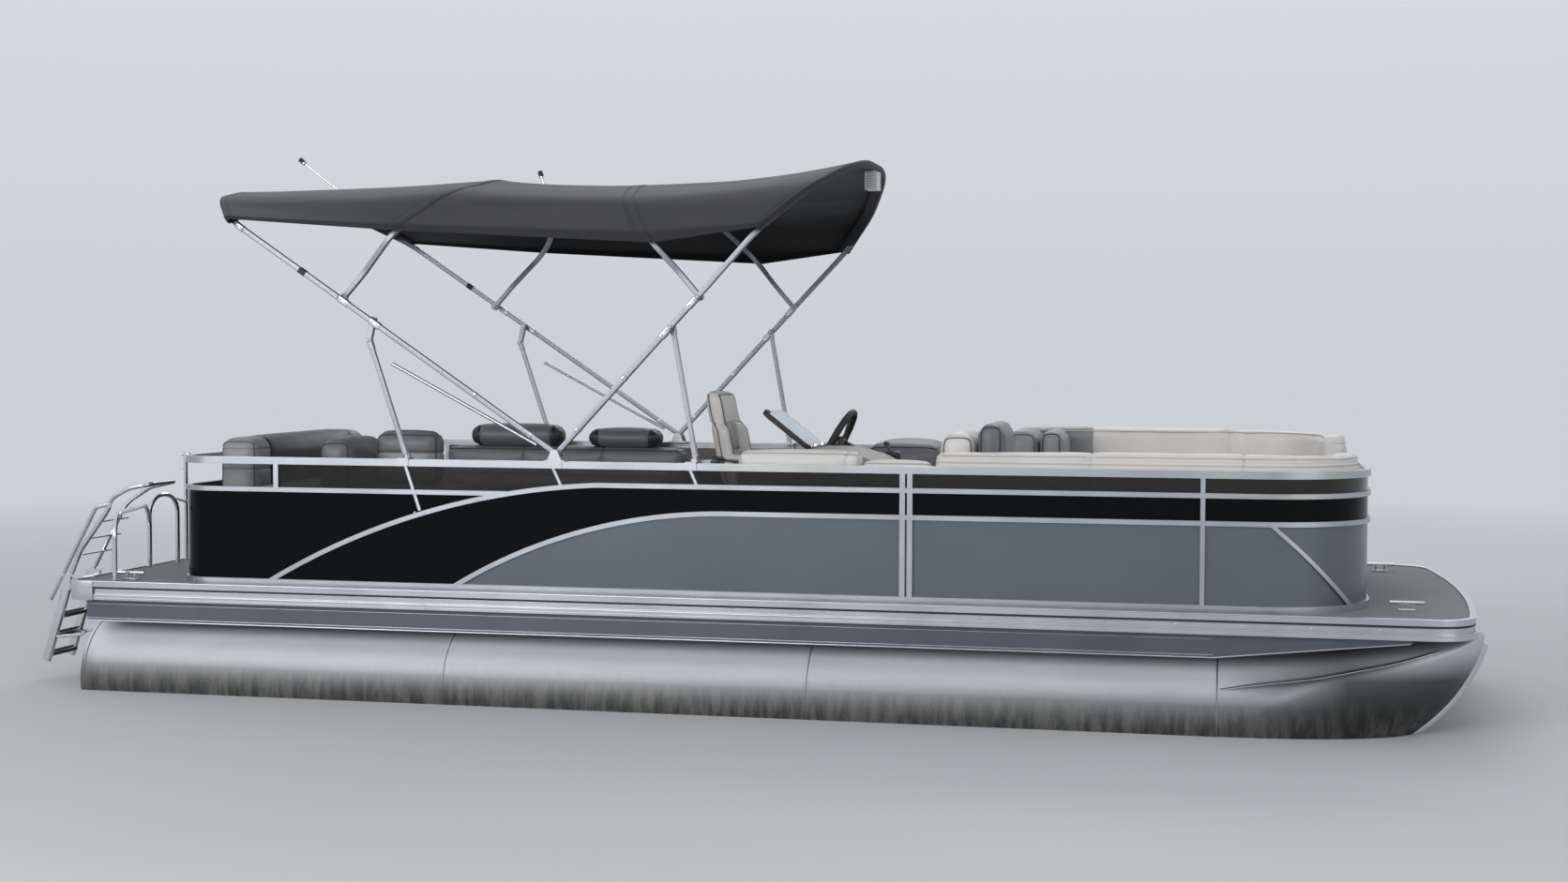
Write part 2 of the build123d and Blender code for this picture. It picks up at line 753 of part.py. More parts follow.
with BuildPart() as bimini_mounts:
    for side in (-1, 1):
        ear_y = (side * ear_outer_y, side * ear_inner_y)
        face = side * (fence_y + rail_depth / 2)
        skirt_y = sorted((face, face + side * saddle_skirt))
        reach = side * (ear_outer_y + ear_thickness / 2)
        block(around(pivot_x, saddle_half), sorted((reach, ear_y[1] - side * ear_thickness / 2)), plate_z)
        block(around(pivot_x, saddle_half * 0.7), skirt_y, skirt_z)
        for y in ear_y:
            with BuildSketch(side_plane(y)) as ear:
                with BuildLine():
                    Polyline(*[(pivot_x + x, z) for x, z in ear_view], close=True)
                make_face()
            extrude(ear.sketch, amount=ear_thickness / 2, both=True)
        rod(at(pivot_x, reach, pivot_z), at(pivot_x, ear_y[1], pivot_z), pin_diameter)
        aft_y = side * aft_strut_y
        inner = side * (aft_strut_y - strut_tube / 2 - 4)
        block(around(aft_strut_rail_x, strut_saddle_half), sorted((face, inner)), plate_z)
        block(around(aft_strut_rail_x, strut_saddle_half), skirt_y, skirt_z)
        rod(
            at(aft_strut_rail_x, aft_y, fence_height),
            at(aft_strut_rail_x, aft_y, fence_height + 26),
            strut_tube + 14,
        )
        inner = side * (strut_y - strut_tube)
        top = fore_strut_foot[1] - strut_tube / 2 - strut_foot_gap
        block(around(fore_strut_foot[0], strut_saddle_half), sorted((face, inner)), plate_z)
        block(around(fore_strut_foot[0], strut_saddle_half), skirt_y, skirt_z)
        block(
            around(fore_strut_foot[0], 14),
            sorted((inner, side * (strut_y + strut_tube))),
            (fence_height, top),
        )
        rod(
            at(fore_strut_foot[0], side * stub_y, fence_height + 2),
            at(stub_foot[0], side * stub_y, stub_foot[1]),
            strut_tube * 0.8,
        )
        rod(
            at(aft_strut_foot[0], aft_y, aft_strut_foot[1]),
            at(aft_strut_top[0], aft_y, aft_strut_top[1]),
            strut_tube,
            mode=Mode.SUBTRACT,
        )
save(bimini_mounts, "bimini_mounts")

# Stowed braces beside the aft bow's legs: top and foot
brace_top = (1826.0, 1166.0)
brace_foot = (2610.0, 756.0)
with BuildPart() as stowed_braces:
    for side in (-1, 1):
        y = side * (main_bow_y - 4)
        rod(at(brace_foot[0], y, brace_foot[1]), at(brace_top[0], y, brace_top[1]), brace_tube)
save(stowed_braces, "stowed_braces")

# Canopy: sections in the planes of the four bows, drawn taut between them
canvas_gap = 4.0
canvas_side = main_bow_y + bow_tube / 2 + canvas_gap
# profile, foot, angle, where the side edge lies along it, shift in x, rise above the bow
canvas_bows = (
    (aft_profile, pivot, aft_angle, 2130.0, -9.0, 14.4),
    (aft_inner_profile, aft_hinge, aft_inner_angle, 440.0, 0.0, 14.6),
    (fore_inner_profile, fore_hinge, fore_inner_angle, 335.0, 0.0, 14.6),
    (fore_profile, pivot, fore_angle, 1525.0, 9.0, 15.4),
)


def canvas_profile(profile, low, thickness):
    """A bow's half profile from the canopy's side edge to its crown, moved outward."""
    shoulder_along, shoulder_y = profile[-2]
    crown_along, crown_y = profile[-1]
    spread = (canvas_side - canvas_bow_y + thickness) / 2
    return (
        (canvas_side + thickness, low),
        (canvas_side + thickness, profile[-3][0]),
        (shoulder_y + spread, shoulder_along + thickness * 0.8),
        (crown_y, crown_along + thickness),
    )


with BuildPart() as canopy:
    for profile, foot, angle, low, shift, rise in canvas_bows:
        plane = Plane(
            origin=at(foot[0] + shift, 0, foot[1] + rise),
            x_dir=(0, 1, 0),
            z_dir=(sin(radians(angle)), 0, -cos(radians(angle))),
        )
        outer = canvas_profile(profile, low, canopy_thickness)
        inner = canvas_profile(profile, low, 0.0)
        with BuildSketch(plane):
            with BuildLine():
                Polyline(
                    *outer,
                    *[(-y, u) for y, u in reversed(outer)],
                    *[(-y, u) for y, u in inner],
                    *reversed(inner),
                    close=True,
                )
            make_face()
    loft(ruled=True)
save(canopy, "canopy")

# Rods that stand on the canopy's crown
crowns = [
    along((foot[0] + shift, foot[1] + rise), angle, profile[-1][0] + canopy_thickness)
    for profile, foot, angle, low, shift, rise in canvas_bows
]
(crown_x0, crown_z0), (crown_x1, crown_z1) = crowns[:2]
rod_diameter = 12.0
rod_cap = 26.0
rod_cap_length = 40.0
rod_foot = 50.0
aft_rod_x = 950.0
aft_rod_share = (aft_rod_x + rod_foot / 2 - crown_x0) / (crown_x1 - crown_x0)
aft_rod_seat = crown_z0 + (crown_z1 - crown_z0) * aft_rod_share
# name, foot's x and z, tip's x and z, y
top_rods = (
    ("aft_top_rod", (aft_rod_x, aft_rod_seat), (aft_rod_x - 275.0, aft_rod_seat + 215.6), 150.0),
    ("fore_top_rod", (crown_x1, crown_z1), (crown_x1 - 35, crown_z1 + 112), 400.0),
)
for name, foot, tip, y in top_rods:
    base = at(foot[0], y, foot[1] + pin_gap)
    end = at(tip[0], y, tip[1])
    way = (end - base).normalized()
    with BuildPart() as top_rod:
        rod(base, base + Vector(0, 0, 10), rod_foot)
        rod(base + Vector(0, 0, 7), end, rod_diameter)
        rod(end - way * rod_cap_length, end, rod_cap)
    save(top_rod, name)

# Light box under the fore crossbar
light_x = 4129.0
light_z = (2120.0, 2217.0)
light_half = (34.0, 60.0)
fore_crown = along(pivot, fore_angle, fore_reach)
with BuildPart() as canopy_light:
    block(around(light_x, light_half[0]), around(0, light_half[1]), light_z)
    block(around(fore_crown[0], 9), around(0, 15), (light_z[1] - 2, fore_crown[1]))
    rod(
        at(fore_crown[0], -40, fore_crown[1]),
        at(fore_crown[0], 40, fore_crown[1]),
        bow_tube + 2 * pin_gap,
        mode=Mode.SUBTRACT,
    )
save(canopy_light, "canopy_light")

# Stern rails: hoops across the deck, the light pole and its arm
stern_tube = 26.0
stern_plate = 44.0
# foot's x, y; height and bend of the hoop that starts there
hoop_rows = (
    (248.0, -half_beam + 73.0, 358.0, 130.0),
    (50.0, -509.0, 405.0, 110.0),
    (90.0, -265.0, 0.0, 0.0),
)
with BuildPart() as stern_hoops:
    for (x0, y0, height, bend), (x1, y1, next_height, next_bend) in zip(hoop_rows[:-1], hoop_rows[1:]):
        pipe(
            [at(x0, y0, 0), at(x0, y0, height), at(x1, y1, height), at(x1, y1, 0)],
            [bend, bend],
            stern_tube,
        )
    for x, y, height, bend in hoop_rows:
        rod(at(x, y, 0), at(x, y, 6), stern_plate)
save(stern_hoops, "stern_hoops")

pole_x = 50.0
pole_y = -90.0
pole_height = 632.0
pole_diameter = 24.0
arm_diameter = 18.0
arm_start = (70.0, -387.0, 405.0)
arm_joint = (pole_x, pole_y, 345.0)
arm_end = (fence_stern_x - rail_depth / 2, pole_y, middle_rail)
with BuildPart() as light_pole:
    rod(at(pole_x, pole_y, 0), at(pole_x, pole_y, pole_height), pole_diameter)
    rod(at(pole_x, pole_y, 0), at(pole_x, pole_y, 8), stern_plate)
    rod(at(pole_x - 26, pole_y, pole_height - 8), at(pole_x + 26, pole_y, pole_height - 8), 22)
    rod(at(pole_x - 24, pole_y, pole_height - 90), at(pole_x, pole_y, pole_height - 90), 14)
    rod(at(*arm_start), at(*arm_joint), arm_diameter)
    rod(at(*arm_joint), at(*arm_end), arm_diameter)
    block((arm_end[0], arm_end[0] + 60), around(pole_y, 40), around(middle_rail, 40), mode=Mode.SUBTRACT)
    add(stern_hoops.part, mode=Mode.SUBTRACT)
save(light_pole, "light_pole")

# Ladder's fixed rails: side view of the near and far grab rail, and of the outer bars
ladder_y = (-half_beam + 205.0, -half_beam + 515.0)
grab_near = ((-92.0, 9.0), (-33.0, 146.0), (135.0, 371.0), (150.0, 430.0), (254.0, 488.0), (371.0, 511.0))
grab_far = ((-218.0, -125.0), (60.0, 382.0), (209.0, 476.0), (371.0, 511.0))
grab_bends = (200.0, 100.0, 80.0, 200.0, 50.0, 50.0, 150.0, 200.0)
outer_bar = ((-218.0, -125.0), (60.0, 382.0), (143.0, 402.0))
tread_levels = (125.0, 215.0, 305.0)
tread_depth = 64.0
tread_thickness = 6.0
knee = (-132.0, -40.0)
knee_pin = 12.0
base_plate = ((-150.0, 60.0), (rub_top, rub_top + 8))
base_plate_half = 15.0
cheek_view = ((-186.0, -96.0), (-72.0, rub_top + 5))
stile_width = 30.0
stile_depth = 46.0
stile_gap = 7.0
cheek_gap = 2.5
stile_y = [
    ladder_y[0] + stern_tube / 2 + stile_gap + stile_width / 2,
    ladder_y[1] - stern_tube / 2 - stile_gap - stile_width / 2,
]
with BuildPart() as ladder_rails:
    near, far = ladder_y
    pipe(
        [at(x, near, z) for x, z in grab_near] + [at(x, far, z) for x, z in reversed(grab_far)],
        list(grab_bends),
        stern_tube,
    )
    bar_run = (outer_bar[1][0] - outer_bar[0][0]) / (outer_bar[1][1] - outer_bar[0][1])
    pipe([at(x, near, z) for x, z in outer_bar], [50.0], stern_tube)
    for bar_y, stile, way in ((near, stile_y[0], 1), (far, stile_y[1], -1)):
        block(base_plate[0], around(bar_y, base_plate_half), base_plate[1])
        block((30.0, base_plate[0][1]), around(bar_y, base_plate_half), (0.0, base_plate[1][1]))
        inner = stile - way * (stile_width / 2 + cheek_gap)
        block(cheek_view[0], sorted((bar_y, inner)), cheek_view[1])
        pin_end = stile + way * (stile_width / 2 - 1)
        rod(at(knee[0], inner - way * 5, knee[1]), at(knee[0], pin_end, knee[1]), knee_pin)
    for level in tread_levels:
        x = outer_bar[0][0] + bar_run * (level - outer_bar[0][1])
        block((x - 4, x - 4 + tread_depth), ladder_y, (level - tread_thickness, level))
save(ladder_rails, "ladder_rails")

# Ladder's folding half, hung on the knee
ladder_foot = (-268.0, -466.0)
rung_shares = (0.42, 0.67, 0.92)
rung_half = (30.0, 9.0)
standoff_share = 0.70
standoff_route = ((-58.0, -318.0), (-28.0, -300.0))
standoff_tube = 18.0
ladder_run = (ladder_foot[0] - knee[0], ladder_foot[1] - knee[1])
with BuildPart() as boarding_ladder:
    direction = Vector(ladder_run[0], 0, ladder_run[1])
    for y in stile_y:
        with BuildSketch(Plane(origin=at(knee[0], y, knee[1]), x_dir=(0, 1, 0), z_dir=direction)) as stile:
            RectangleRounded(stile_width, stile_depth, 8)
        extrude(stile.sketch, amount=direction.length)
        rod(
            at(knee[0], y - stile_width / 2, knee[1]),
            at(knee[0], y + stile_width / 2, knee[1]),
            stile_depth,
        )
        x = knee[0] + ladder_run[0] * standoff_share
        z = knee[1] + ladder_run[1] * standoff_share
        pipe([at(x, y, z)] + [at(a, y, b) for a, b in standoff_route], [14.0], standoff_tube)
    for share in rung_shares:
        x = knee[0] + ladder_run[0] * share
        z = knee[1] + ladder_run[1] * share
        block(around(x, rung_half[0]), stile_y, around(z, rung_half[1]))
    rod(at(knee[0], stile_y[0], knee[1]), at(knee[0], stile_y[1], knee[1]), stern_tube)
    for y, way in zip(stile_y, (1, -1)):
        rod(
            at(knee[0], y - way * (stile_width / 2 + 1), knee[1]),
            at(knee[0], y + way * (stile_width / 2), knee[1]),
            knee_pin + 2 * pin_gap,
            mode=Mode.SUBTRACT,
        )
save(boarding_ladder, "boarding_ladder")

# Seats at the bow. Their bases and pads follow the fence's plan
wall_inset = rail_depth / 2 + wall_gap
lounge_edge = 470.0
back_thickness = 150.0
arm_depth = 190.0
roll_depth = 140.0
# name, side, stern end, top of the back, of the arm and of the roll
bow_lounges = (
    ("starboard", -1, 4640.0, 750.0, 837.0, 887.0),
    ("port", 1, 4810.0, 800.0, 800.0, 800.0),
)


def lounge_plan(plan, x0, side):
    """The part of a plan forward of x0 and outboard of the lounge's edge, on one side."""
    with BuildSketch(Plane.XY) as area:
        add(plan)
        middle = (stern_x + (x0 + fence_bow_x) / 2, side * (lounge_edge + half_beam) / 2)
        with Locations(middle):
            Rectangle(fence_bow_x - x0, half_beam - lounge_edge, mode=Mode.INTERSECT)
    return area.sketch


def lounge_pad(area, top, edge):
    """Pad on the seat's base, with its top edges rounded."""
    with BuildPart(Plane(origin=(0, 0, deck_z + seat_base_height + seam_gap))) as pad:
        add(area)
        extrude(amount=top - seat_base_height - seam_gap)
        fillet(pad.edges().group_by(Axis.Z)[-1], edge)
    return pad.part


def cushions(table):
    """Pads of one seat: x, y and z ranges and the radius of their edges."""
    return [cushion(x, sorted(y), z, edge) for x, y, z, edge in table]


for name, side, aft_x, back_top, arm_top, roll_top in bow_lounges:
    with BuildPart(Plane(origin=(0, 0, deck_z))) as base:
        add(lounge_plan(fence_plan(wall_inset), aft_x, side))
        extrude(amount=seat_base_height)
    save(base, f"bow_base_{name}")
    seat_x = aft_x + arm_depth + roll_depth + 2 * seam_gap
    band = lounge_plan(fence_ring(back_thickness, wall_inset + back_thickness / 2), aft_x, side)
    floor = lounge_plan(fence_plan(wall_inset + back_thickness + seam_gap), seat_x, side)
    edge_y = (side * lounge_edge, side * (fence_y - wall_inset - back_thickness - seam_gap))
    low = seat_base_height + seam_gap
    arm_x = (aft_x, aft_x + arm_depth)
    roll_x = (arm_x[1] + seam_gap, arm_x[1] + seam_gap + roll_depth)
    rows = (
        (arm_x, edge_y, (low, arm_top), 60.0),
        (roll_x, edge_y, (low, roll_top), 60.0),
    )
    pads = [lounge_pad(band, back_top, 45), lounge_pad(floor, seat_top, 30)] + cushions(rows)
    with BuildPart() as node:
        for pad in pads:
            add(pad)
    save(node, f"bow_cushions_{name}")

# Seats aft and amidships. Outboard faces stay clear of the struts
seat_wall = fence_y - 70.0
cushion_wall = fence_y - 160.0
couch_x = (1260.0, 2790.0)
couch_y = (520.0, seat_wall)
side_seat_x = (1302.0, 2050.0)
side_seat_y = (-seat_wall, -620.0)
aft_seat_x = (700.0, 1300.0)
aft_seat_y = (-seat_wall, 400.0)
single_x = (3980.0, 4430.0)
single_y = (620.0, seat_wall)
seat_bases = (
    ("couch_base_port", (couch_x, couch_y)),
    ("single_base_port", (single_x, single_y)),
    ("stern_base", (aft_seat_x, aft_seat_y)),
    ("side_base_starboard", (side_seat_x, side_seat_y)),
)
for name, (x, y) in seat_bases:
    with BuildPart() as base:
        block(x, y, (0.0, seat_base_height))
    save(base, name)

low = seat_base_height + seam_gap
couch_back_top = 645.0
couch_back_y = (seat_wall - 170, seat_wall)
bolster_low = couch_back_top + seam_gap
bolster_y = (seat_wall - 175, seat_wall - 5)
aft_bolster_x = (1410.0, 2010.0)
fore_bolster_x = (2180.0, 2640.0)
stern_back_x = (750.0, 980.0)
side_back_x = (1360.0, 1560.0)
side_edge_y = side_seat_y[1] - 20.0
stern_pad_y = (-cushion_wall, aft_seat_y[1])
stern_pad_x = (stern_back_x[1] + seam_gap, aft_seat_x[1])
side_pad_x = (side_back_x[1] + seam_gap, side_seat_x[1])
seat_rows = (
    (
        "couch_cushions_port",
        (
            (couch_x, couch_back_y, (low, couch_back_top), 40.0),
            (couch_x, (couch_y[0], couch_back_y[0] - seam_gap), (low, seat_top), 30.0),
            (aft_bolster_x, bolster_y, (bolster_low, couch_back_top + 140), 55.0),
            (fore_bolster_x, bolster_y, (bolster_low, couch_back_top + 120), 50.0),
        ),
    ),
    (
        "single_cushion_port",
        ((single_x, single_y, (low, 716.0), 60.0),),
    ),
    (
        "stern_cushions",
        (
            (stern_back_x, stern_pad_y, (low, 770.0), 60.0),
            (stern_pad_x, stern_pad_y, (low, seat_top), 30.0),
        ),
    ),
    (
        "side_cushions_starboard",
        (
            (side_back_x, (-seat_wall, side_edge_y), (low, 775.0), 60.0),
            (side_pad_x, (-seat_wall, side_edge_y), (low, seat_top), 30.0),
            ((1580.0, 1960.0), (-900.0, -760.0), (seat_top + seam_gap, 810.0), 60.0),
        ),
    ),
)
for name, rows in seat_rows:
    pads = cushions(rows)
    with BuildPart() as node:
        for pad in pads:
            add(pad)
    save(node, name)

# Console beside the helm, with a low locker along the fence
console_x = (3930.0, 4420.0)
console_y = (-cushion_wall, -500.0)
console_top = 742.0
dash_y = (-500.0, 20.0)
dash_view = ((4110.0, 0.0), (4110.0, 560.0), (4180.0, console_top), (4420.0, console_top), (4420.0, 0.0))
locker_x = (3650.0, 4630.0)
locker_y = (-fence_y + wall_inset, -cushion_wall - 20.0)
locker_top = 560.0
with BuildPart() as console:
    block(console_x, console_y, (0, console_top))
    with BuildSketch(side_plane(dash_y[1])) as dash:
        with BuildLine():
            Polyline(*dash_view, close=True)
        make_face()
    extrude(dash.sketch, amount=dash_y[1] - dash_y[0])
    block(locker_x, locker_y, (0, locker_top))
    block(console_x, (locker_y[1], console_y[0]), (0, locker_top))
save(console, "console")

locker_split = 4280.0
pads = cushions(
    (
        ((locker_x[0], locker_split), locker_y, (locker_top + seam_gap, 746.0), 40.0),
        ((locker_split + seam_gap, locker_x[1]), locker_y, (locker_top + seam_gap, 700.0), 30.0),
    )
)
with BuildPart() as console_pads:
    for pad in pads:
        add(pad)
save(console_pads, "console_pads")

# Screen leaning aft over the console
screen_foot = (3975.0, console_top + 4)
screen_head = (3745.0, 925.0)
screen_y = (console_y[0] + 70.0, console_y[1] - 40.0)
screen_thickness = 8.0
lean = degrees(atan2(screen_head[1] - screen_foot[1], screen_head[0] - screen_foot[0]))
screen_length = hypot(screen_head[0] - screen_foot[0], screen_head[1] - screen_foot[1])
screen_plane = Plane(
    origin=at(screen_foot[0], sum(screen_y) / 2, screen_foot[1]),
    x_dir=(0, 1, 0),
    z_dir=(sin(radians(lean)), 0, -cos(radians(lean))),
)
with BuildPart() as windscreen:
    with BuildSketch(screen_plane):
        with Locations((0, screen_length / 2)):
            RectangleRounded(screen_y[1] - screen_y[0], screen_length, 40)
    extrude(amount=screen_thickness / 2, both=True)
    block(around(screen_foot[0], 20), (screen_y[0] + 30, screen_y[1] - 30), (console_top, console_top + 12))
save(windscreen, "windscreen")

# Wheel and column
wheel_centre = at(3985.0, -250.0, 745.0)
wheel_r = 185.0
rim_r = 15.0
spoke_diameter = 22.0
wheel_tilt = radians(28)
hub_r = 45.0
hub_depth = 40.0
column_gap = 6.0
column_diameter = 74.0
shaft_diameter = 20.0
column_axis = Vector(cos(wheel_tilt), 0, -sin(wheel_tilt))
wheel_up = Vector(sin(wheel_tilt), 0, cos(wheel_tilt))
with BuildPart() as steering_wheel:
    with BuildSketch(Plane(origin=wheel_centre, x_dir=(0, 1, 0), z_dir=wheel_up)) as rim:
        with Locations((wheel_r, 0)):
            Circle(rim_r)
    revolve(rim.sketch, axis=Axis(wheel_centre, column_axis))
    rod(wheel_centre - column_axis * 14, wheel_centre + column_axis * hub_depth, 2 * hub_r)
    for turn in (90, 210, 330):
        spoke = wheel_up * sin(radians(turn)) + Vector(0, cos(radians(turn)), 0)
        rod(wheel_centre, wheel_centre + spoke * wheel_r, spoke_diameter)
    rod(
        wheel_centre + column_axis * 8,
        wheel_centre + column_axis * (hub_depth + 1),
        shaft_diameter + 2 * pin_gap,
        mode=Mode.SUBTRACT,
    )
save(steering_wheel, "steering_wheel")

column_start = wheel_centre + column_axis * (hub_depth + column_gap)
with BuildPart() as steering_column:
    rod(column_start, column_start + column_axis * 240, column_diameter)
    rod(wheel_centre + column_axis * 10, column_start + column_axis * 10, shaft_diameter)
    add(console.part, mode=Mode.SUBTRACT)
save(steering_column, "steering_column")

# Throttle box and lever on the console's top
throttle_y = -30.0
lever_foot = (4245.0, console_top + 40)
lever_head = (4215.0, console_top + 190)
with BuildPart() as throttle:
    block((4200.0, 4290.0), around(throttle_y, 30), (console_top, console_top + 50))
    rod(at(lever_foot[0], throttle_y, lever_foot[1]), at(lever_head[0], throttle_y, lever_head[1]), 16)
    rod(
        at(lever_head[0], throttle_y - 30, lever_head[1]),
        at(lever_head[0], throttle_y + 40, lever_head[1]),
        30,
    )
save(throttle, "throttle")

# Helm chair on a swivel
chair_x = 3520.0
chair_y = -250.0
chair_plate = 320.0
chair_post = 76.0
chair_post_top = 330.0
swivel_pin = 40.0
swivel_gap = 1.0
chair_seat_z = (345.0, 390.0)
chair_seat_top = 500.0
chair_top = 1020.0
chair_half = 215.0
with BuildPart() as chair_pedestal:
    rod(at(chair_x, chair_y, 0), at(chair_x, chair_y, 14), chair_plate)
    rod(at(chair_x, chair_y, 10), at(chair_x, chair_y, chair_post_top), chair_post)
    rod(at(chair_x, chair_y, chair_post_top - 2), at(chair_x, chair_y, chair_seat_z[0] + 20), swivel_pin)
save(chair_pedestal, "chair_pedestal")

arm_x = (chair_x + 130, chair_x - 165)
arm_z = (640.0, 665.0)
arm_tube = 20.0
with BuildPart() as chair_shell:
    rod(at(chair_x, chair_y, chair_post_top + swivel_gap), at(chair_x, chair_y, chair_seat_z[0] + 10), 180)
    block((chair_x - 190, chair_x + 230), around(chair_y, chair_half - 5), chair_seat_z)
    for side in (-1, 1):
        arm_y = chair_y + side * (chair_half + 14)
        root_y = chair_y + side * (chair_half - 20)
        pipe(
            [
                at(arm_x[0], root_y, chair_seat_z[0] + 22),
                at(arm_x[0], arm_y, chair_seat_z[0] + 22),
                at(arm_x[0], arm_y, arm_z[0]),
                at(arm_x[1], arm_y, arm_z[1]),
            ],
            [16.0, 50.0],
            arm_tube,
        )
    rod(
        at(chair_x, chair_y, chair_post_top),
        at(chair_x, chair_y, chair_seat_z[0] + 22),
        swivel_pin + 2 * pin_gap,
        mode=Mode.SUBTRACT,
    )
save(chair_shell, "chair_shell")

low = chair_seat_z[1] + seam_gap
pads = cushions(
    (
        ((chair_x - 100, chair_x + 240), around(chair_y, chair_half), (low, chair_seat_top), 40.0),
        ((chair_x - 220, chair_x - 100 - seam_gap), around(chair_y, chair_half), (low, chair_top), 45.0),
    )
)
with BuildPart() as chair_cushions:
    for pad in pads:
        add(pad)
save(chair_cushions, "chair_cushions")
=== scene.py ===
import math
import bpy
import bmesh
from mathutils import Matrix, Vector, noise
from mathutils.bvhtree import BVHTree
from mathutils.kdtree import KDTree


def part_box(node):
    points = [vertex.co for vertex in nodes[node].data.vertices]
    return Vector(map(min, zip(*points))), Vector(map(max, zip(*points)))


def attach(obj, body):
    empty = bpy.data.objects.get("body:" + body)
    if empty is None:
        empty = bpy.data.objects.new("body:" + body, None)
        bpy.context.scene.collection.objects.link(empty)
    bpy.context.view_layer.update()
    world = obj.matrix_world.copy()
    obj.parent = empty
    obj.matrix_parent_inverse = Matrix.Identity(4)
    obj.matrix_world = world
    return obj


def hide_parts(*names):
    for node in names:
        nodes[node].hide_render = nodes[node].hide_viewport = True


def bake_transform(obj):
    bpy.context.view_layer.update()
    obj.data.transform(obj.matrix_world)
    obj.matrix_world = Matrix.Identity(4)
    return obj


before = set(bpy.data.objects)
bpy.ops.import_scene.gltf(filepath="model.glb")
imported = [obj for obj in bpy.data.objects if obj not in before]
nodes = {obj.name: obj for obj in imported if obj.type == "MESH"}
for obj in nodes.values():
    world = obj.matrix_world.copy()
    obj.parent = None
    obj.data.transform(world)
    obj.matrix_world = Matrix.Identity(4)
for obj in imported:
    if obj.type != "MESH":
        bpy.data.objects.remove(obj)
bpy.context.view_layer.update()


def P(x, y, z):
    """Millimetres from the deck's stern edge, centre line and top, as a point in metres."""
    return Vector(((x - 3490.0) / 1000.0, y / 1000.0, (z + 866.0) / 1000.0))


# Materials

def new_material(name):
    m = bpy.data.materials.new(name)
    m.use_nodes = True
    nt = m.node_tree
    nt.nodes.clear()
    out = nt.nodes.new("ShaderNodeOutputMaterial")
    b = nt.nodes.new("ShaderNodeBsdfPrincipled")
    nt.links.new(b.outputs[0], out.inputs[0])
    return m, nt, b


def put(nt, socket, value):
    if hasattr(value, "is_output"):
        nt.links.new(value, socket)
    elif isinstance(value, (tuple, list)) and len(value) == 3 and socket.type == "RGBA":
        socket.default_value = (*value, 1.0)
    else:
        socket.default_value = value


def coords(nt, scale=(1, 1, 1), rotation=(0, 0, 0)):
    tc = nt.nodes.new("ShaderNodeTexCoord")
    mp = nt.nodes.new("ShaderNodeMapping")
    mp.inputs["Scale"].default_value = scale
    mp.inputs["Rotation"].default_value = rotation
    nt.links.new(tc.outputs["Object"], mp.inputs["Vector"])
    return mp.outputs[0]


def noise_tex(nt, scale, detail=3.0, rough=0.5, vector=None, stretch=(1, 1, 1)):
    n = nt.nodes.new("ShaderNodeTexNoise")
    put(nt, n.inputs["Scale"], scale)
    put(nt, n.inputs["Detail"], detail)
    put(nt, n.inputs["Roughness"], rough)
    put(nt, n.inputs["Vector"], vector if vector is not None else coords(nt, stretch))
    return n.outputs["Fac"]


def wave_tex(nt, scale, direction="X", distortion=0.0, vector=None, detail_scale=1.0):
    n = nt.nodes.new("ShaderNodeTexWave")
    n.wave_type = "BANDS"
    n.bands_direction = direction
    put(nt, n.inputs["Scale"], scale)
    put(nt, n.inputs["Distortion"], distortion)
    put(nt, n.inputs["Detail Scale"], detail_scale)
    put(nt, n.inputs["Vector"], vector if vector is not None else coords(nt))
    return n.outputs["Fac"]


def voronoi(nt, scale, feature="F1", vector=None):
    n = nt.nodes.new("ShaderNodeTexVoronoi")
    n.feature = feature
    put(nt, n.inputs["Scale"], scale)
    put(nt, n.inputs["Vector"], vector if vector is not None else coords(nt))
    return n.outputs["Distance"]


def ramp(nt, fac, stops):
    r = nt.nodes.new("ShaderNodeValToRGB")
    els = r.color_ramp.elements
    while len(els) < len(stops):
        els.new(0.5)
    for el, (pos, col) in zip(els, stops):
        el.position = pos
        el.color = (*col, 1.0) if isinstance(col, (tuple, list)) else (col, col, col, 1.0)
    put(nt, r.inputs[0], fac)
    return r.outputs[0]


def mix(nt, fac, a, b, how="MIX"):
    m = nt.nodes.new("ShaderNodeMix")
    m.data_type = "RGBA"
    m.blend_type = how
    put(nt, m.inputs[0], fac)
    put(nt, m.inputs[6], a)
    put(nt, m.inputs[7], b)
    return m.outputs[2]


def maths(nt, op, a, b=0.0, c=None):
    m = nt.nodes.new("ShaderNodeMath")
    m.operation = op
    put(nt, m.inputs[0], a)
    put(nt, m.inputs[1], b)
    if c is not None:
        put(nt, m.inputs[2], c)
    return m.outputs[0]


def height_z(nt):
    tc = nt.nodes.new("ShaderNodeTexCoord")
    s = nt.nodes.new("ShaderNodeSeparateXYZ")
    nt.links.new(tc.outputs["Object"], s.inputs[0])
    return s.outputs


def bump(nt, b, height, strength=0.3, distance=0.001):
    n = nt.nodes.new("ShaderNodeBump")
    n.inputs["Strength"].default_value = strength
    n.inputs["Distance"].default_value = distance
    put(nt, n.inputs["Height"], height)
    nt.links.new(n.outputs[0], b.inputs["Normal"])


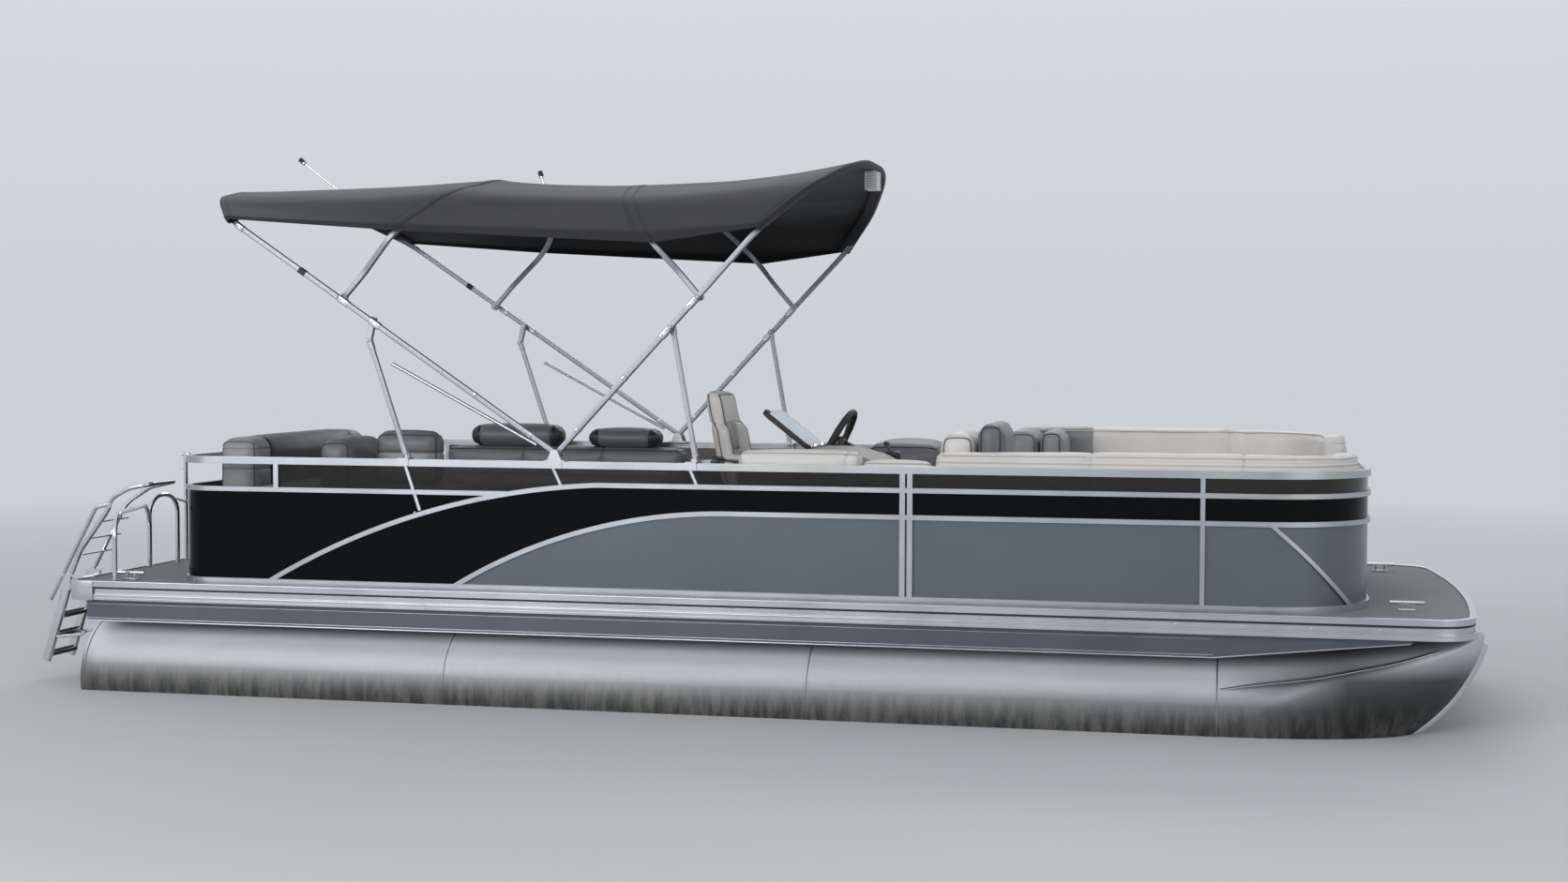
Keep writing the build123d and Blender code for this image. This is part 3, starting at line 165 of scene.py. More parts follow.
def metal(name, color, rough, spread=0.08, grain=(1, 60, 60), bump_by=0.15, dark=0.82):
    m, nt, b = new_material(name)
    b.inputs["Metallic"].default_value = 1.0
    fine = noise_tex(nt, 18.0, 4.0, 0.6, stretch=grain)
    broad = noise_tex(nt, 2.6, 4.0, 0.6)
    put(nt, b.inputs["Base Color"], mix(nt, ramp(nt, broad, [(0.3, 0.0), (0.75, 1.0)]),
        tuple(c * dark for c in color), color))
    mixed = maths(nt, "MULTIPLY_ADD", fine, spread * 0.7, rough - spread * 0.35)
    put(nt, b.inputs["Roughness"], maths(nt, "MULTIPLY_ADD", broad, spread, mixed))
    bump(nt, b, fine, bump_by, 0.0004)
    return m


def tube_metal():
    """Mill finish: brushed along the tube and duller low down, with painted reflection in its colour: light
    at the top, darkening to near black low down and at the nose for dark water, and a waterline band that is
    part water staining, part painted reflection of rippled water.
    """
    m, nt, b = new_material("brushed_tube")
    z = height_z(nt)[2]
    put(nt, b.inputs["Metallic"], ramp(nt, z, [(0.36, 0.80), (0.56, 0.22)]))
    streak = noise_tex(nt, 5.0, 5.0, 0.62, stretch=(0.5, 1.6, 1.6))
    fine = noise_tex(nt, 30.0, 4.0, 0.6, stretch=(0.4, 8, 8))
    glint = noise_tex(nt, 9.0, 4.0, 0.66, stretch=(2.6, 1.0, 0.5))
    edge = maths(nt, "MULTIPLY_ADD", glint, 0.09, 0.33)
    band = maths(nt, "SUBTRACT", edge, z)
    low = ramp(nt, maths(nt, "MULTIPLY_ADD", band, 5.0, 0.5), [(0.0, 0.0), (1.0, 1.0)])
    clean = mix(nt, ramp(nt, streak, [(0.35, 0.0), (0.7, 1.0)]), (0.80, 0.835, 0.875), (0.88, 0.91, 0.94))
    # Painted reflection: the base colour fades from light at the top to near black low down, standing in for
    # the sky above and the dark water below.
    fall = ramp(nt, z, [(0.30, 1.0), (0.42, 0.86), (0.51, 0.36), (0.60, 0.0)])
    clean = mix(nt, fall, clean, (0.085, 0.088, 0.092))
    x = height_z(nt)[0]
    # Painted reflection: the nose darkens further towards the bow and low down, standing in for dark water
    # reflected there.
    nose = ramp(nt, maths(nt, "MULTIPLY_ADD", x, 1.6, -4.0), [(0.0, 0.0), (1.0, 0.96)])
    nose = maths(nt, "MULTIPLY", nose, ramp(nt, z, [(0.56, 1.0), (0.70, 0.45)]))
    clean = mix(nt, nose, clean, (0.035, 0.037, 0.037))
    # The waterline band is part water staining, part painted reflection of rippled water: dark blotches with
    # lighter glints from the glint noise.
    stain_and_ripple_reflection = mix(nt, ramp(nt, glint, [(0.40, 0.0), (0.62, 1.0)]), (0.055, 0.054, 0.05), (0.15, 0.147, 0.14))
    put(nt, b.inputs["Base Color"], mix(nt, low, clean, stain_and_ripple_reflection))
    rough = maths(nt, "MULTIPLY_ADD", streak, 0.10, 0.38)
    rough = maths(nt, "MULTIPLY_ADD", fine, 0.06, rough)
    put(nt, b.inputs["Roughness"], maths(nt, "MULTIPLY_ADD", low, 0.10, rough))
    bump(nt, b, mix(nt, 0.35, fine, streak), 0.16, 0.001)
    return m


def paint(name, color, rough=0.2, coat=0.6, flake=0.0, second=None, specular=0.5):
    m, nt, b = new_material(name)
    b.inputs["Specular IOR Level"].default_value = specular
    broad = noise_tex(nt, 1.6, 4.0, 0.6)
    dust = noise_tex(nt, 40.0, 5.0, 0.7)
    other = second if second is not None else tuple(c * 0.86 + 0.002 for c in color)
    put(nt, b.inputs["Base Color"], mix(nt, ramp(nt, broad, [(0.3, 0.0), (0.72, 1.0)]), color, other))
    b.inputs["Metallic"].default_value = flake
    b.inputs["Coat Weight"].default_value = coat
    b.inputs["Coat Roughness"].default_value = 0.06
    put(nt, b.inputs["Roughness"], maths(nt, "MULTIPLY_ADD", dust, 0.10, rough))
    bump(nt, b, mix(nt, 0.5, noise_tex(nt, 6.0, 2.0), dust), 0.06, 0.001)
    return m


def vinyl(name, color, second, grain=420.0, rough=0.42):
    """Marine vinyl: pebbled grain, soft creases and slight soiling."""
    m, nt, b = new_material(name)
    broad = noise_tex(nt, 3.0, 5.0, 0.6)
    fine = noise_tex(nt, 60.0, 4.0, 0.6)
    pebble = voronoi(nt, grain, "SMOOTH_F1")
    tone = mix(nt, ramp(nt, broad, [(0.3, 0.0), (0.75, 1.0)]), color, second)
    put(nt, b.inputs["Base Color"], mix(nt, ramp(nt, pebble, [(0.2, 0.0), (0.9, 0.35)]), tone,
        tuple(c * 0.72 for c in color)))
    put(nt, b.inputs["Roughness"], maths(nt, "MULTIPLY_ADD", fine, 0.16, rough - 0.06))
    b.inputs["Specular IOR Level"].default_value = 0.45
    b.inputs["Sheen Weight"].default_value = 0.06
    b.inputs["Sheen Roughness"].default_value = 0.5
    bump(nt, b, mix(nt, 0.4, mix(nt, 0.35, pebble, fine), noise_tex(nt, 11.0, 3.0)), 0.28, 0.0012)
    return m


def canvas_cloth(name, color, second, weave=420.0):
    m, nt, b = new_material(name)
    over = wave_tex(nt, weave, "X")
    under = wave_tex(nt, weave, "Y")
    cross = maths(nt, "MULTIPLY", over, under)
    broad = noise_tex(nt, 2.2, 5.0, 0.65)
    tone = mix(nt, ramp(nt, broad, [(0.3, 0.0), (0.75, 1.0)]), color, second)
    put(nt, b.inputs["Base Color"], mix(nt, ramp(nt, cross, [(0.0, 0.0), (1.0, 0.5)]), tone,
        tuple(min(1.0, c * 1.5) for c in color)))
    put(nt, b.inputs["Roughness"], maths(nt, "MULTIPLY_ADD", broad, 0.12, 0.78))
    b.inputs["Specular IOR Level"].default_value = 0.25
    b.inputs["Sheen Weight"].default_value = 0.2
    b.inputs["Sheen Roughness"].default_value = 0.45
    bump(nt, b, mix(nt, 0.35, cross, noise_tex(nt, 9.0, 4.0)), 0.35, 0.0008)
    return m


def plastic(name, color, rough=0.4, grain=260.0, by=0.2):
    m, nt, b = new_material(name)
    broad = noise_tex(nt, 4.0, 4.0, 0.6)
    fine = noise_tex(nt, grain, 3.0, 0.6)
    put(nt, b.inputs["Base Color"], mix(nt, ramp(nt, broad, [(0.3, 0.0), (0.75, 1.0)]), color,
        tuple(c * 0.85 + 0.003 for c in color)))
    put(nt, b.inputs["Roughness"], maths(nt, "MULTIPLY_ADD", fine, 0.12, rough - 0.05))
    bump(nt, b, fine, by, 0.0006)
    return m


def sheet_clear(name, color, rough, body, specular=0.5):
    """Acrylic sheet, tinted in its thickness."""
    m, nt, b = new_material(name)
    b.inputs["Specular IOR Level"].default_value = specular
    b.inputs["Transmission Weight"].default_value = body
    b.inputs["IOR"].default_value = 1.46
    haze = noise_tex(nt, 7.0, 4.0, 0.6)
    put(nt, b.inputs["Base Color"], mix(nt, ramp(nt, haze, [(0.3, 0.0), (0.8, 1.0)]), color,
        tuple(c * 0.8 for c in color)))
    put(nt, b.inputs["Roughness"], maths(nt, "MULTIPLY_ADD", haze, 0.05, rough))
    bump(nt, b, haze, 0.03, 0.001)
    return m


def deck_cover():
    """Woven floor vinyl with a heathered pattern."""
    m, nt, b = new_material("deck_weave")
    a = wave_tex(nt, 95.0, "X", 1.2, detail_scale=3.0)
    c = wave_tex(nt, 95.0, "Y", 1.2, detail_scale=3.0)
    weave = maths(nt, "MULTIPLY", a, c)
    speck = noise_tex(nt, 320.0, 3.0, 0.7)
    broad = noise_tex(nt, 1.4, 4.0, 0.6)
    base = mix(nt, ramp(nt, speck, [(0.35, 0.0), (0.65, 1.0)]), (0.165, 0.172, 0.178), (0.31, 0.318, 0.325))
    base = mix(nt, ramp(nt, broad, [(0.3, 0.0), (0.8, 0.22)]), base, (0.17, 0.175, 0.18))
    put(nt, b.inputs["Base Color"],
        mix(nt, ramp(nt, weave, [(0.2, 0.25), (0.8, 0.0)]), base, (0.14, 0.145, 0.15)))
    b.inputs["Roughness"].default_value = 0.82
    put(nt, b.inputs["Roughness"], maths(nt, "MULTIPLY_ADD", speck, 0.12, 0.74))
    bump(nt, b, weave, 0.4, 0.0012)
    return m


MAT = {
    "tube": tube_metal(),
    "hull": metal("mill_aluminium", (0.24, 0.265, 0.30), 0.46, 0.12, (1, 30, 30)),
    "skirt": metal("skirt_aluminium", (0.125, 0.140, 0.160), 0.44, 0.12, (0.5, 30, 30)),
    "trim": metal("anodised_trim", (0.66, 0.685, 0.72), 0.24, 0.10, (0.6, 40, 40), 0.08),
    "rub": metal("rub_band", (0.56, 0.585, 0.625), 0.28, 0.10, (0.5, 40, 40), 0.08),
    "rail": metal("fluted_rail", (0.50, 0.52, 0.55), 0.30, 0.08, (0.6, 20, 20), 0.02),
    "bow": metal("anodised_bow", (0.37, 0.39, 0.42), 0.46, 0.05, (2, 2, 2), 0.0),
    "steel": metal("polished_steel", (0.66, 0.67, 0.68), 0.14, 0.10, (3, 3, 3), 0.06, 0.9),
    "grey_metal": metal("cast_grey", (0.50, 0.515, 0.53), 0.38, 0.12, (8, 8, 8), 0.2),
    "grey_sheet": paint("grey_paint", (0.125, 0.148, 0.172), 0.26, 0.2, 0.35, (0.11, 0.13, 0.155), 0.3),
    "black_sheet": paint("black_paint", (0.0030, 0.0038, 0.0045), 0.12, 0.0, 0.0, (0.0034, 0.0042, 0.005),
    0.07),
    "smoked": sheet_clear("smoked_acrylic", (0.135, 0.120, 0.110), 0.03, 1.0, 0.35),
    "clear": sheet_clear("clear_acrylic", (0.74, 0.85, 0.95), 0.02, 0.92),
    "deck": deck_cover(),
    "canvas": canvas_cloth("canopy_cloth", (0.0245, 0.0245, 0.027), (0.033, 0.033, 0.036)),
    "canvas_edge": canvas_cloth("canopy_binding", (0.016, 0.016, 0.018), (0.022, 0.022, 0.024), 600.0),
    # Painted shade: the canopy's underside is the same canvas given a far darker colour, standing in for the
    # shade under the canopy.
    "canvas_under": canvas_cloth("canopy_underside_painted_shade", (0.0045, 0.0048, 0.0055), (0.006, 0.0063, 0.007)),
    "light": vinyl("light_vinyl", (0.66, 0.63, 0.605), (0.72, 0.695, 0.67)),
    "grey": vinyl("grey_vinyl", (0.125, 0.13, 0.14), (0.15, 0.155, 0.165)),
    "mid": vinyl("mid_vinyl", (0.23, 0.23, 0.235), (0.27, 0.27, 0.27)),
    "charcoal": vinyl("charcoal_vinyl", (0.020, 0.021, 0.023), (0.028, 0.029, 0.032), 520.0, 0.4),
    "welt": vinyl("dark_piping", (0.07, 0.07, 0.075), (0.09, 0.09, 0.095), 700.0, 0.4),
    "welt_light": vinyl("light_piping", (0.42, 0.40, 0.38), (0.47, 0.45, 0.43), 700.0, 0.4),
    "base": plastic("moulded_base", (0.36, 0.35, 0.335), 0.55, 300.0, 0.3),
    "black": plastic("black_fitting", (0.018, 0.018, 0.020), 0.38, 300.0, 0.15),
    "rubber": plastic("black_rubber", (0.014, 0.014, 0.014), 0.62, 160.0, 0.3),
    "dial": plastic("dial_face", (0.03, 0.03, 0.032), 0.2, 200.0, 0.03),
    "white": plastic("white_lens", (0.66, 0.66, 0.65), 0.25, 120.0, 0.05),
    "mark": plastic("dial_marks", (0.5, 0.5, 0.5), 0.4, 120.0, 0.05),
}

node_look = {
    "tube": ("pontoon_starboard", "pontoon_port"),
    "hull": ("cross_members", "motor_pod"),
    "skirt": ("skirts",),
    "rub": ("rub_rail",),
    "rail": ("fence_frame_starboard", "fence_frame_port", "bow_gate_frame", "stern_gate_frame",
             "aft_main_bow", "fore_main_bow", "aft_inner_bow", "fore_inner_bow", "aft_struts",
             "fore_struts", "stowed_braces"),
    "steel": ("cleats", "stern_hoops", "ladder_rails", "boarding_ladder", "light_pole",
              "aft_top_rod", "fore_top_rod", "chair_pedestal"),
    "grey_metal": ("bimini_mounts",),
    "grey_sheet": ("grey_panels", "bow_gate_panel"),
    "black_sheet": ("black_panels", "stern_gate_panel"),
    "smoked": ("smoked_panels",),
    "clear": ("windscreen",),
    "deck": ("deck",),
    "canvas": ("canopy",),
    "light": ("bow_cushions_starboard", "bow_cushions_port", "console_pads"),
    "grey": ("couch_cushions_port", "single_cushion_port", "stern_cushions", "side_cushions_starboard",
             "chair_cushions"),
    "base": ("bow_base_starboard", "bow_base_port", "couch_base_port", "single_base_port",
             "stern_base", "side_base_starboard", "console"),
    "black": ("steering_wheel", "steering_column", "throttle", "chair_shell"),
    "white": ("canopy_light",),
}
for key, names in node_look.items():
    for n in names:
        data = nodes[n].data
        data.materials.clear()
        data.materials.append(MAT[key])

# Mesh tools

def finish_piece(obj, key, body, smooth=True):
    scene = bpy.context.scene
    if obj.name not in scene.collection.objects:
        scene.collection.objects.link(obj)
    if key is not None and not obj.data.materials:
        obj.data.materials.append(MAT[key])
    if smooth and obj.type == "MESH":
        for p in obj.data.polygons:
            p.use_smooth = True
    if body is not None:
        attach(obj, body)
    return obj


def mesh_piece(name, verts, faces, key, body="hull", smooth=True, sharp=None):
    data = bpy.data.meshes.new(name)
    data.from_pydata([tuple(v) for v in verts], [], faces)
    data.validate()
    data.update()
    bm = bmesh.new()
    bm.from_mesh(data)
    bmesh.ops.recalc_face_normals(bm, faces=bm.faces)
    bm.to_mesh(data)
    bm.free()
    obj = bpy.data.objects.new(name, data)
    finish_piece(obj, key, body, smooth=smooth)
    if sharp is not None:
        mark_sharp(obj, sharp)
    return obj


def mark_sharp(obj, angle):
    """Edges that turn by more than angle degrees keep their crease."""
    bm = bmesh.new()
    bm.from_mesh(obj.data)
    limit = math.radians(angle)
    for e in bm.edges:
        e.smooth = not (len(e.link_faces) == 2 and e.calc_face_angle(0.0) > limit)
    bm.to_mesh(obj.data)
    bm.free()


def join_parts(name, parts, key, body="hull", sharp=None, smooth=True):
    """Several (verts, faces) lists as one piece."""
    verts = []
    faces = []
    for v, f in parts:
        base = len(verts)
        verts.extend(v)
        faces.extend([tuple(i + base for i in face) for face in f])
    return mesh_piece(name, verts, faces, key, body, smooth, sharp)


def catmull(points, per, closed=False):
    """Smooth points through the given ones."""
    n = len(points)
    out = []
    last = n if closed else n - 1
    for i in range(last):
        p0 = points[(i - 1) % n] if closed or i > 0 else points[0] * 2 - points[1]
        p1 = points[i]
        p2 = points[(i + 1) % n]
        p3 = points[(i + 2) % n] if closed or i + 2 < n else points[-1] * 2 - points[-2]
        for k in range(per):
            t = k / per
            out.append(0.5 * ((2 * p1) + (p2 - p0) * t + (2 * p0 - 5 * p1 + 4 * p2 - p3) * t * t
                              + (3 * p1 - p0 - 3 * p2 + p3) * t ** 3))
    if not closed:
        out.append(points[-1].copy())
    return out


def sweep(points, profile, closed=False, up=None, caps=True):
    """Profile of (side, up) pairs in metres carried along points. Returns verts and faces."""
    n = len(points)
    m = len(profile)
    verts = []
    faces = []
    tangents = []
    for i in range(n):
        a = points[(i - 1) % n] if closed or i > 0 else points[0]
        b = points[(i + 1) % n] if closed or i < n - 1 else points[-1]
        t = (b - a)
        tangents.append(t.normalized() if t.length > 1e-9 else Vector((1, 0, 0)))
    if up is None:
        ref = Vector((0, 0, 1)) if abs(tangents[0].z) < 0.9 else Vector((1, 0, 0))
        normal = (ref - tangents[0] * ref.dot(tangents[0])).normalized()
    for i in range(n):
        t = tangents[i]
        if up is not None:
            normal = (up - t * up.dot(t)).normalized()
        elif i > 0:
            normal = normal - t * normal.dot(t)
            normal.normalize()
        side = t.cross(normal).normalized()
        for s, u in profile:
            verts.append(points[i] + side * s + normal * u)
    rows = n if closed else n - 1
    for i in range(rows):
        for k in range(m):
            a = i * m + k
            b = i * m + (k + 1) % m
            c = ((i + 1) % n) * m + (k + 1) % m
            d = ((i + 1) % n) * m + k
            faces.append((a, b, c, d))
    if caps and not closed:
        faces.append(tuple(range(m - 1, -1, -1)))
        faces.append(tuple((n - 1) * m + k for k in range(m)))
    return verts, faces


def ring(radius, count=8, squash=1.0):
    return [(radius * math.cos(2 * math.pi * k / count),
        squash * radius * math.sin(2 * math.pi * k / count))
            for k in range(count)]


def rounded_rect(w, h, r, per=3):
    """Closed profile, w wide and h high, with rounded corners, centred."""
    out = []
    for cx, cy, a0 in ((w / 2 - r, h / 2 - r, 0), (-w / 2 + r, h / 2 - r, 90),
            (-w / 2 + r, -h / 2 + r, 180), (w / 2 - r, -h / 2 + r, 270)):
        for k in range(per + 1):
            a = math.radians(a0 + 90.0 * k / per)
            out.append((cx + r * math.cos(a), cy + r * math.sin(a)))
    return out


def cord_parts(points, radius, closed=False, count=8):
    return sweep(points, ring(radius, count), closed)


def lathe_parts(profile, origin, axis, count=24, caps=True):
    """Profile of (radius, distance along axis) turned about the axis."""
    axis = axis.normalized()
    ref = Vector((0, 0, 1)) if abs(axis.z) < 0.9 else Vector((1, 0, 0))
    u = (ref - axis * ref.dot(axis)).normalized()
    v = axis.cross(u)
    verts = []
    faces = []
    m = len(profile)
    for k in range(count):
        a = 2 * math.pi * k / count
        way = u * math.cos(a) + v * math.sin(a)
        for r, d in profile:
            verts.append(origin + axis * d + way * max(r, 1e-5))
    for k in range(count):
        for j in range(m - 1):
            a = k * m + j
            b = ((k + 1) % count) * m + j
            faces.append((a, a + 1, b + 1, b))
    if caps:
        faces.append(tuple(k * m for k in range(count)))
        faces.append(tuple(k * m + m - 1 for k in range(count - 1, -1, -1)))
    return verts, faces


def box_parts(lo, hi, r, turn=None, about=None):
    """Block with rounded edges as verts and faces."""
    bm = bmesh.new()
    bmesh.ops.create_cube(bm, size=1.0)
    size = hi - lo
    mid = (hi + lo) / 2
    for v in bm.verts:
        v.co = Vector((v.co.x * size.x, v.co.y * size.y, v.co.z * size.z)) + mid
    if r > 0:
        bmesh.ops.bevel(bm, geom=list(bm.edges), offset=r, segments=2, profile=0.5, affect="EDGES")
    if turn is not None:
        centre = about if about is not None else mid
        bmesh.ops.rotate(bm, verts=bm.verts, cent=centre, matrix=turn)
    bm.verts.index_update()
    verts = [v.co.copy() for v in bm.verts]
    faces = [tuple(v.index for v in f.verts) for f in bm.faces]
    bm.free()
    return verts, faces


def bolt_parts(at_point, axis, radius=0.006, height=0.004):
    """Domed screw head with a socket."""
    r = radius
    h = height
    return lathe_parts([(r, -0.001), (r, h * 0.35), (r * 0.85, h * 0.8), (r * 0.5, h), (r * 0.42, h),
        (r * 0.4, h * 0.55), (0.0, h * 0.5)],
                       at_point, axis, 12)


def plan_fence(inset):
    """Plan points of the fence line in boat mm, moved in by inset, anticlockwise from starboard aft."""
    x0 = 600.0 + inset
    x1 = 6720.0 - inset
    y = 1200.0 - inset
    rb = 500.0 - inset
    rs = max(180.0 - inset, 12.0)
    out = []

    def line(ax, ay, bx, by, n):
        for k in range(n):
            out.append((ax + (bx - ax) * k / n, ay + (by - ay) * k / n))

    def arc(cx, cy, r, a0, n):
        for k in range(n):
            a = math.radians(a0 + 90.0 * k / n)
            out.append((cx + r * math.cos(a), cy + r * math.sin(a)))

    line(x0 + rs, -y, x1 - rb, -y, 60)
    arc(x1 - rb, -y + rb, rb, -90, 24)
    line(x1, -y + rb, x1, y - rb, 16)
    arc(x1 - rb, y - rb, rb, 0, 24)
    line(x1 - rb, y, x0 + rs, y, 60)
    arc(x0 + rs, y - rs, rs, 90, 14)
    line(x0, y - rs, x0, -y + rs, 16)
    arc(x0 + rs, -y + rs, rs, 180, 14)
    return out

# Padded pieces

def axis_lines(a, b, r, step, marks):
    """Grid lines from a to b, closer together at the rounded ends and by the seams."""
    length = b - a
    r = min(r, length * 0.48)
    pts = set()
    for k in (0.0, 0.15, 0.36, 0.6, 0.82, 1.0):
        pts.add(a + r * k)
        pts.add(b - r * k)
    n = max(1, round((length - 2 * r) / step))
    for i in range(1, n):
        pts.add(a + r + (length - 2 * r) * i / n)
    for m in marks:
        for f in (0.0, 0.004, 0.009, 0.017):
            pts.add(m + f)
            pts.add(m - f)
    keep = set(marks) | {a, b}
    out = sorted(p for p in pts if a - 1e-9 <= p <= b + 1e-9)
    clean = [out[0]]
    for p in out[1:]:
        if p - clean[-1] > 0.0022:
            clean.append(p)
        elif p in keep:
            clean[-1] = p
    return clean


class Pad:
    """A cushion: a rounded block with crowned faces, tucked sides and sewn seams, then bent to its place."""

    def __init__(self, lo, hi, r, crown=(0.006, 0.006, 0.010), flat_base=True, tuck=0.003, seams=(),
                 depth=0.006, seed=0.0, wrinkle=0.0016, warp=None, puff=0.5):
        self.lo = Vector(lo)
        self.hi = Vector(hi)
        self.r = min(r, *[(self.hi[i] - self.lo[i]) * 0.46 for i in range(3)])
        self.crown = crown
        self.flat_base = flat_base
        self.tuck = tuck
        self.seams = seams
        self.depth = depth
        self.seed = seed
        self.wrinkle = wrinkle
        self.warp = warp
        self.puff = puff
        self.mid = (self.lo + self.hi) / 2
        self.half = (self.hi - self.lo) / 2

    def shape(self, p, extra=0.0):
        """Where a point of the plain block ends up. extra moves it out of the surface."""
        r = self.r
        inner = Vector([min(max(p[i], self.lo[i] + r), self.hi[i] - r) for i in range(3)])
        d = p - inner
        out = d.normalized() if d.length > 1e-9 else Vector((0, 0, 1))
        q = inner + out * r
        u = [(p[i] - self.mid[i]) / self.half[i] for i in range(3)]
        for i in range(3):
            j = (i + 1) % 3
            k = (i + 2) % 3
            if i == 2 and u[2] < 0 and self.flat_base:
                continue
            side = 1.0 if u[i] > 0 else -1.0
            swell = (1 - abs(u[j]) ** 2.6) * (1 - abs(u[k]) ** 2.6)
            q[i] += side * self.crown[i] * max(swell, 0.0) * abs(out[i])
        for i in (0, 1):
            j = 1 - i
            q[i] -= (
                (1.0 if u[i] > 0 else -1.0) * self.tuck * (1 - u[j] ** 2)
                * abs(u[2]) ** 3 * abs(u[i]) ** 4
            )
        near = 0.0
        for a, m, part in self.seams:
            o = p[a] - m
            if part is not None and not part(p):
                continue
            g = math.exp(-(o / 0.0058) ** 2)
            wide = math.exp(-(o / 0.028) ** 2)
            near = max(near, wide)
            q -= out * (self.depth * g + self.depth * 0.35 * wide * self.puff)
        n1 = noise.noise(q * 7.0 + Vector((self.seed, 0, 0)))
        n2 = noise.noise(Vector((q.x * 46.0, q.y * 46.0, q.z * 46.0 + self.seed)))
        q += out * (self.wrinkle * n1 + 0.0011 * near * n2)
        q += out * extra
        if self.warp is not None:
            q = self.warp(q)
        return q

    def mesh(self, step=0.034):
        lines = []
        for i in range(3):
            lines.append(axis_lines(self.lo[i], self.hi[i], self.r, step,
                [m for a, m, part in self.seams if a == i]))
        index = {}
        verts = []
        local = []

        def vert(i, j, k):
            key = (i, j, k)
            if key not in index:
                p = Vector((lines[0][i], lines[1][j], lines[2][k]))
                index[key] = len(verts)
                verts.append(self.shape(p))
                local.append(p)
            return index[key]

        nx, ny, nz = (len(l) - 1 for l in lines)
        faces = []
        for i in range(nx):
            for j in range(ny):
                faces.append((vert(i, j, 0), vert(i, j + 1, 0), vert(i + 1, j + 1, 0), vert(i + 1, j, 0)))
                faces.append((vert(i, j, nz), vert(i + 1, j, nz), vert(i + 1, j + 1, nz),
                    vert(i, j + 1, nz)))
        for i in range(nx):
            for k in range(nz):
                faces.append((vert(i, 0, k), vert(i + 1, 0, k), vert(i + 1, 0, k + 1), vert(i, 0, k + 1)))
                faces.append((vert(i, ny, k), vert(i, ny, k + 1), vert(i + 1, ny, k + 1),
                    vert(i + 1, ny, k)))
        for j in range(ny):
            for k in range(nz):
                faces.append((vert(0, j, k), vert(0, j, k + 1), vert(0, j + 1, k + 1), vert(0, j + 1, k)))
                faces.append((vert(nx, j, k), vert(nx, j + 1, k), vert(nx, j + 1, k + 1),
                    vert(nx, j, k + 1)))
        return verts, faces, local

    def loop(self, axis, side, extra=0.0012):
        """Closed line round the block's face on that axis and side, on the finished surface."""
        others = [i for i in range(3) if i != axis]
        a, b = others
        fixed = self.hi[axis] if side > 0 else self.lo[axis]
        corners = [(self.lo[a], self.lo[b]), (self.hi[a], self.lo[b]), (self.hi[a], self.hi[b]),
            (self.lo[a], self.hi[b])]
        out = []
        for n in range(4):
            s = corners[n]
            e = corners[(n + 1) % 4]
            steps = max(6, int(max(abs(e[0] - s[0]), abs(e[1] - s[1])) / 0.03))
            for k in range(steps):
                t = k / steps
                t = 0.5 - 0.5 * math.cos(math.pi * t)
                p = Vector((0, 0, 0))
                p[axis] = fixed
                p[a] = s[0] + (e[0] - s[0]) * t
                p[b] = s[1] + (e[1] - s[1]) * t
                out.append(self.shape(p, extra))
        clean = [out[0]]
        for q in out[1:]:
            if (q - clean[-1]).length > 0.004:
                clean.append(q)
        if (clean[-1] - clean[0]).length < 0.004:
            clean.pop()
        return clean


made = []


def held_share(pad, p, welts):
    """How firmly the thread holds a point of the cover while it is blown up."""
    w = 0.0
    if pad.flat_base and p.z < pad.lo.z + 0.002:
        w = 1.0
    for a, m, part in pad.seams:
        if part is not None and not part(p):
            continue
        off = abs(p[a] - m)
        if off < 0.0065:
            w = 1.0
        elif off < 0.012:
            w = max(w, 0.5)
    near = 0.3 * pad.r
    for axis, side in welts:
        face = pad.hi[axis] if side > 0 else pad.lo[axis]
        if abs(p[axis] - face) < near:
            for i in range(3):
                if i != axis and min(abs(p[i] - pad.lo[i]), abs(p[i] - pad.hi[i])) < near:
                    w = max(w, 0.8)
    return w


def cushion(name, pad, key, body="hull", tints=(), welts=(), welt_key="welt", welt_r=0.0038,
            replaces=(), step=0.034, blown=True):
    verts, faces, local = pad.mesh(step * 0.72)
    obj = mesh_piece(name, verts, faces, key, None)
    for row in tints:
        obj.data.materials.append(MAT[row[-1]])
        number = len(obj.data.materials) - 1
        for p in obj.data.polygons:
            c = sum((local[v] for v in p.vertices), Vector()) / len(p.vertices)
            if row[0](c) if callable(row[0]) else row[0] <= c[row[2]] <= row[1]:
                p.material_index = number
    if replaces:
        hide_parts(*replaces)
    if blown:
        group = obj.vertex_groups.new(name="held")
        for i, p in enumerate(local):
            w = held_share(pad, p, welts)
            if w > 0:
                group.add([i], w, "REPLACE")
    lines = []
    for row in welts:
        lines.append(pad.loop(row[0], row[1]))
    made.append((obj, blown, lines, welt_key, welt_r, body))
    return obj


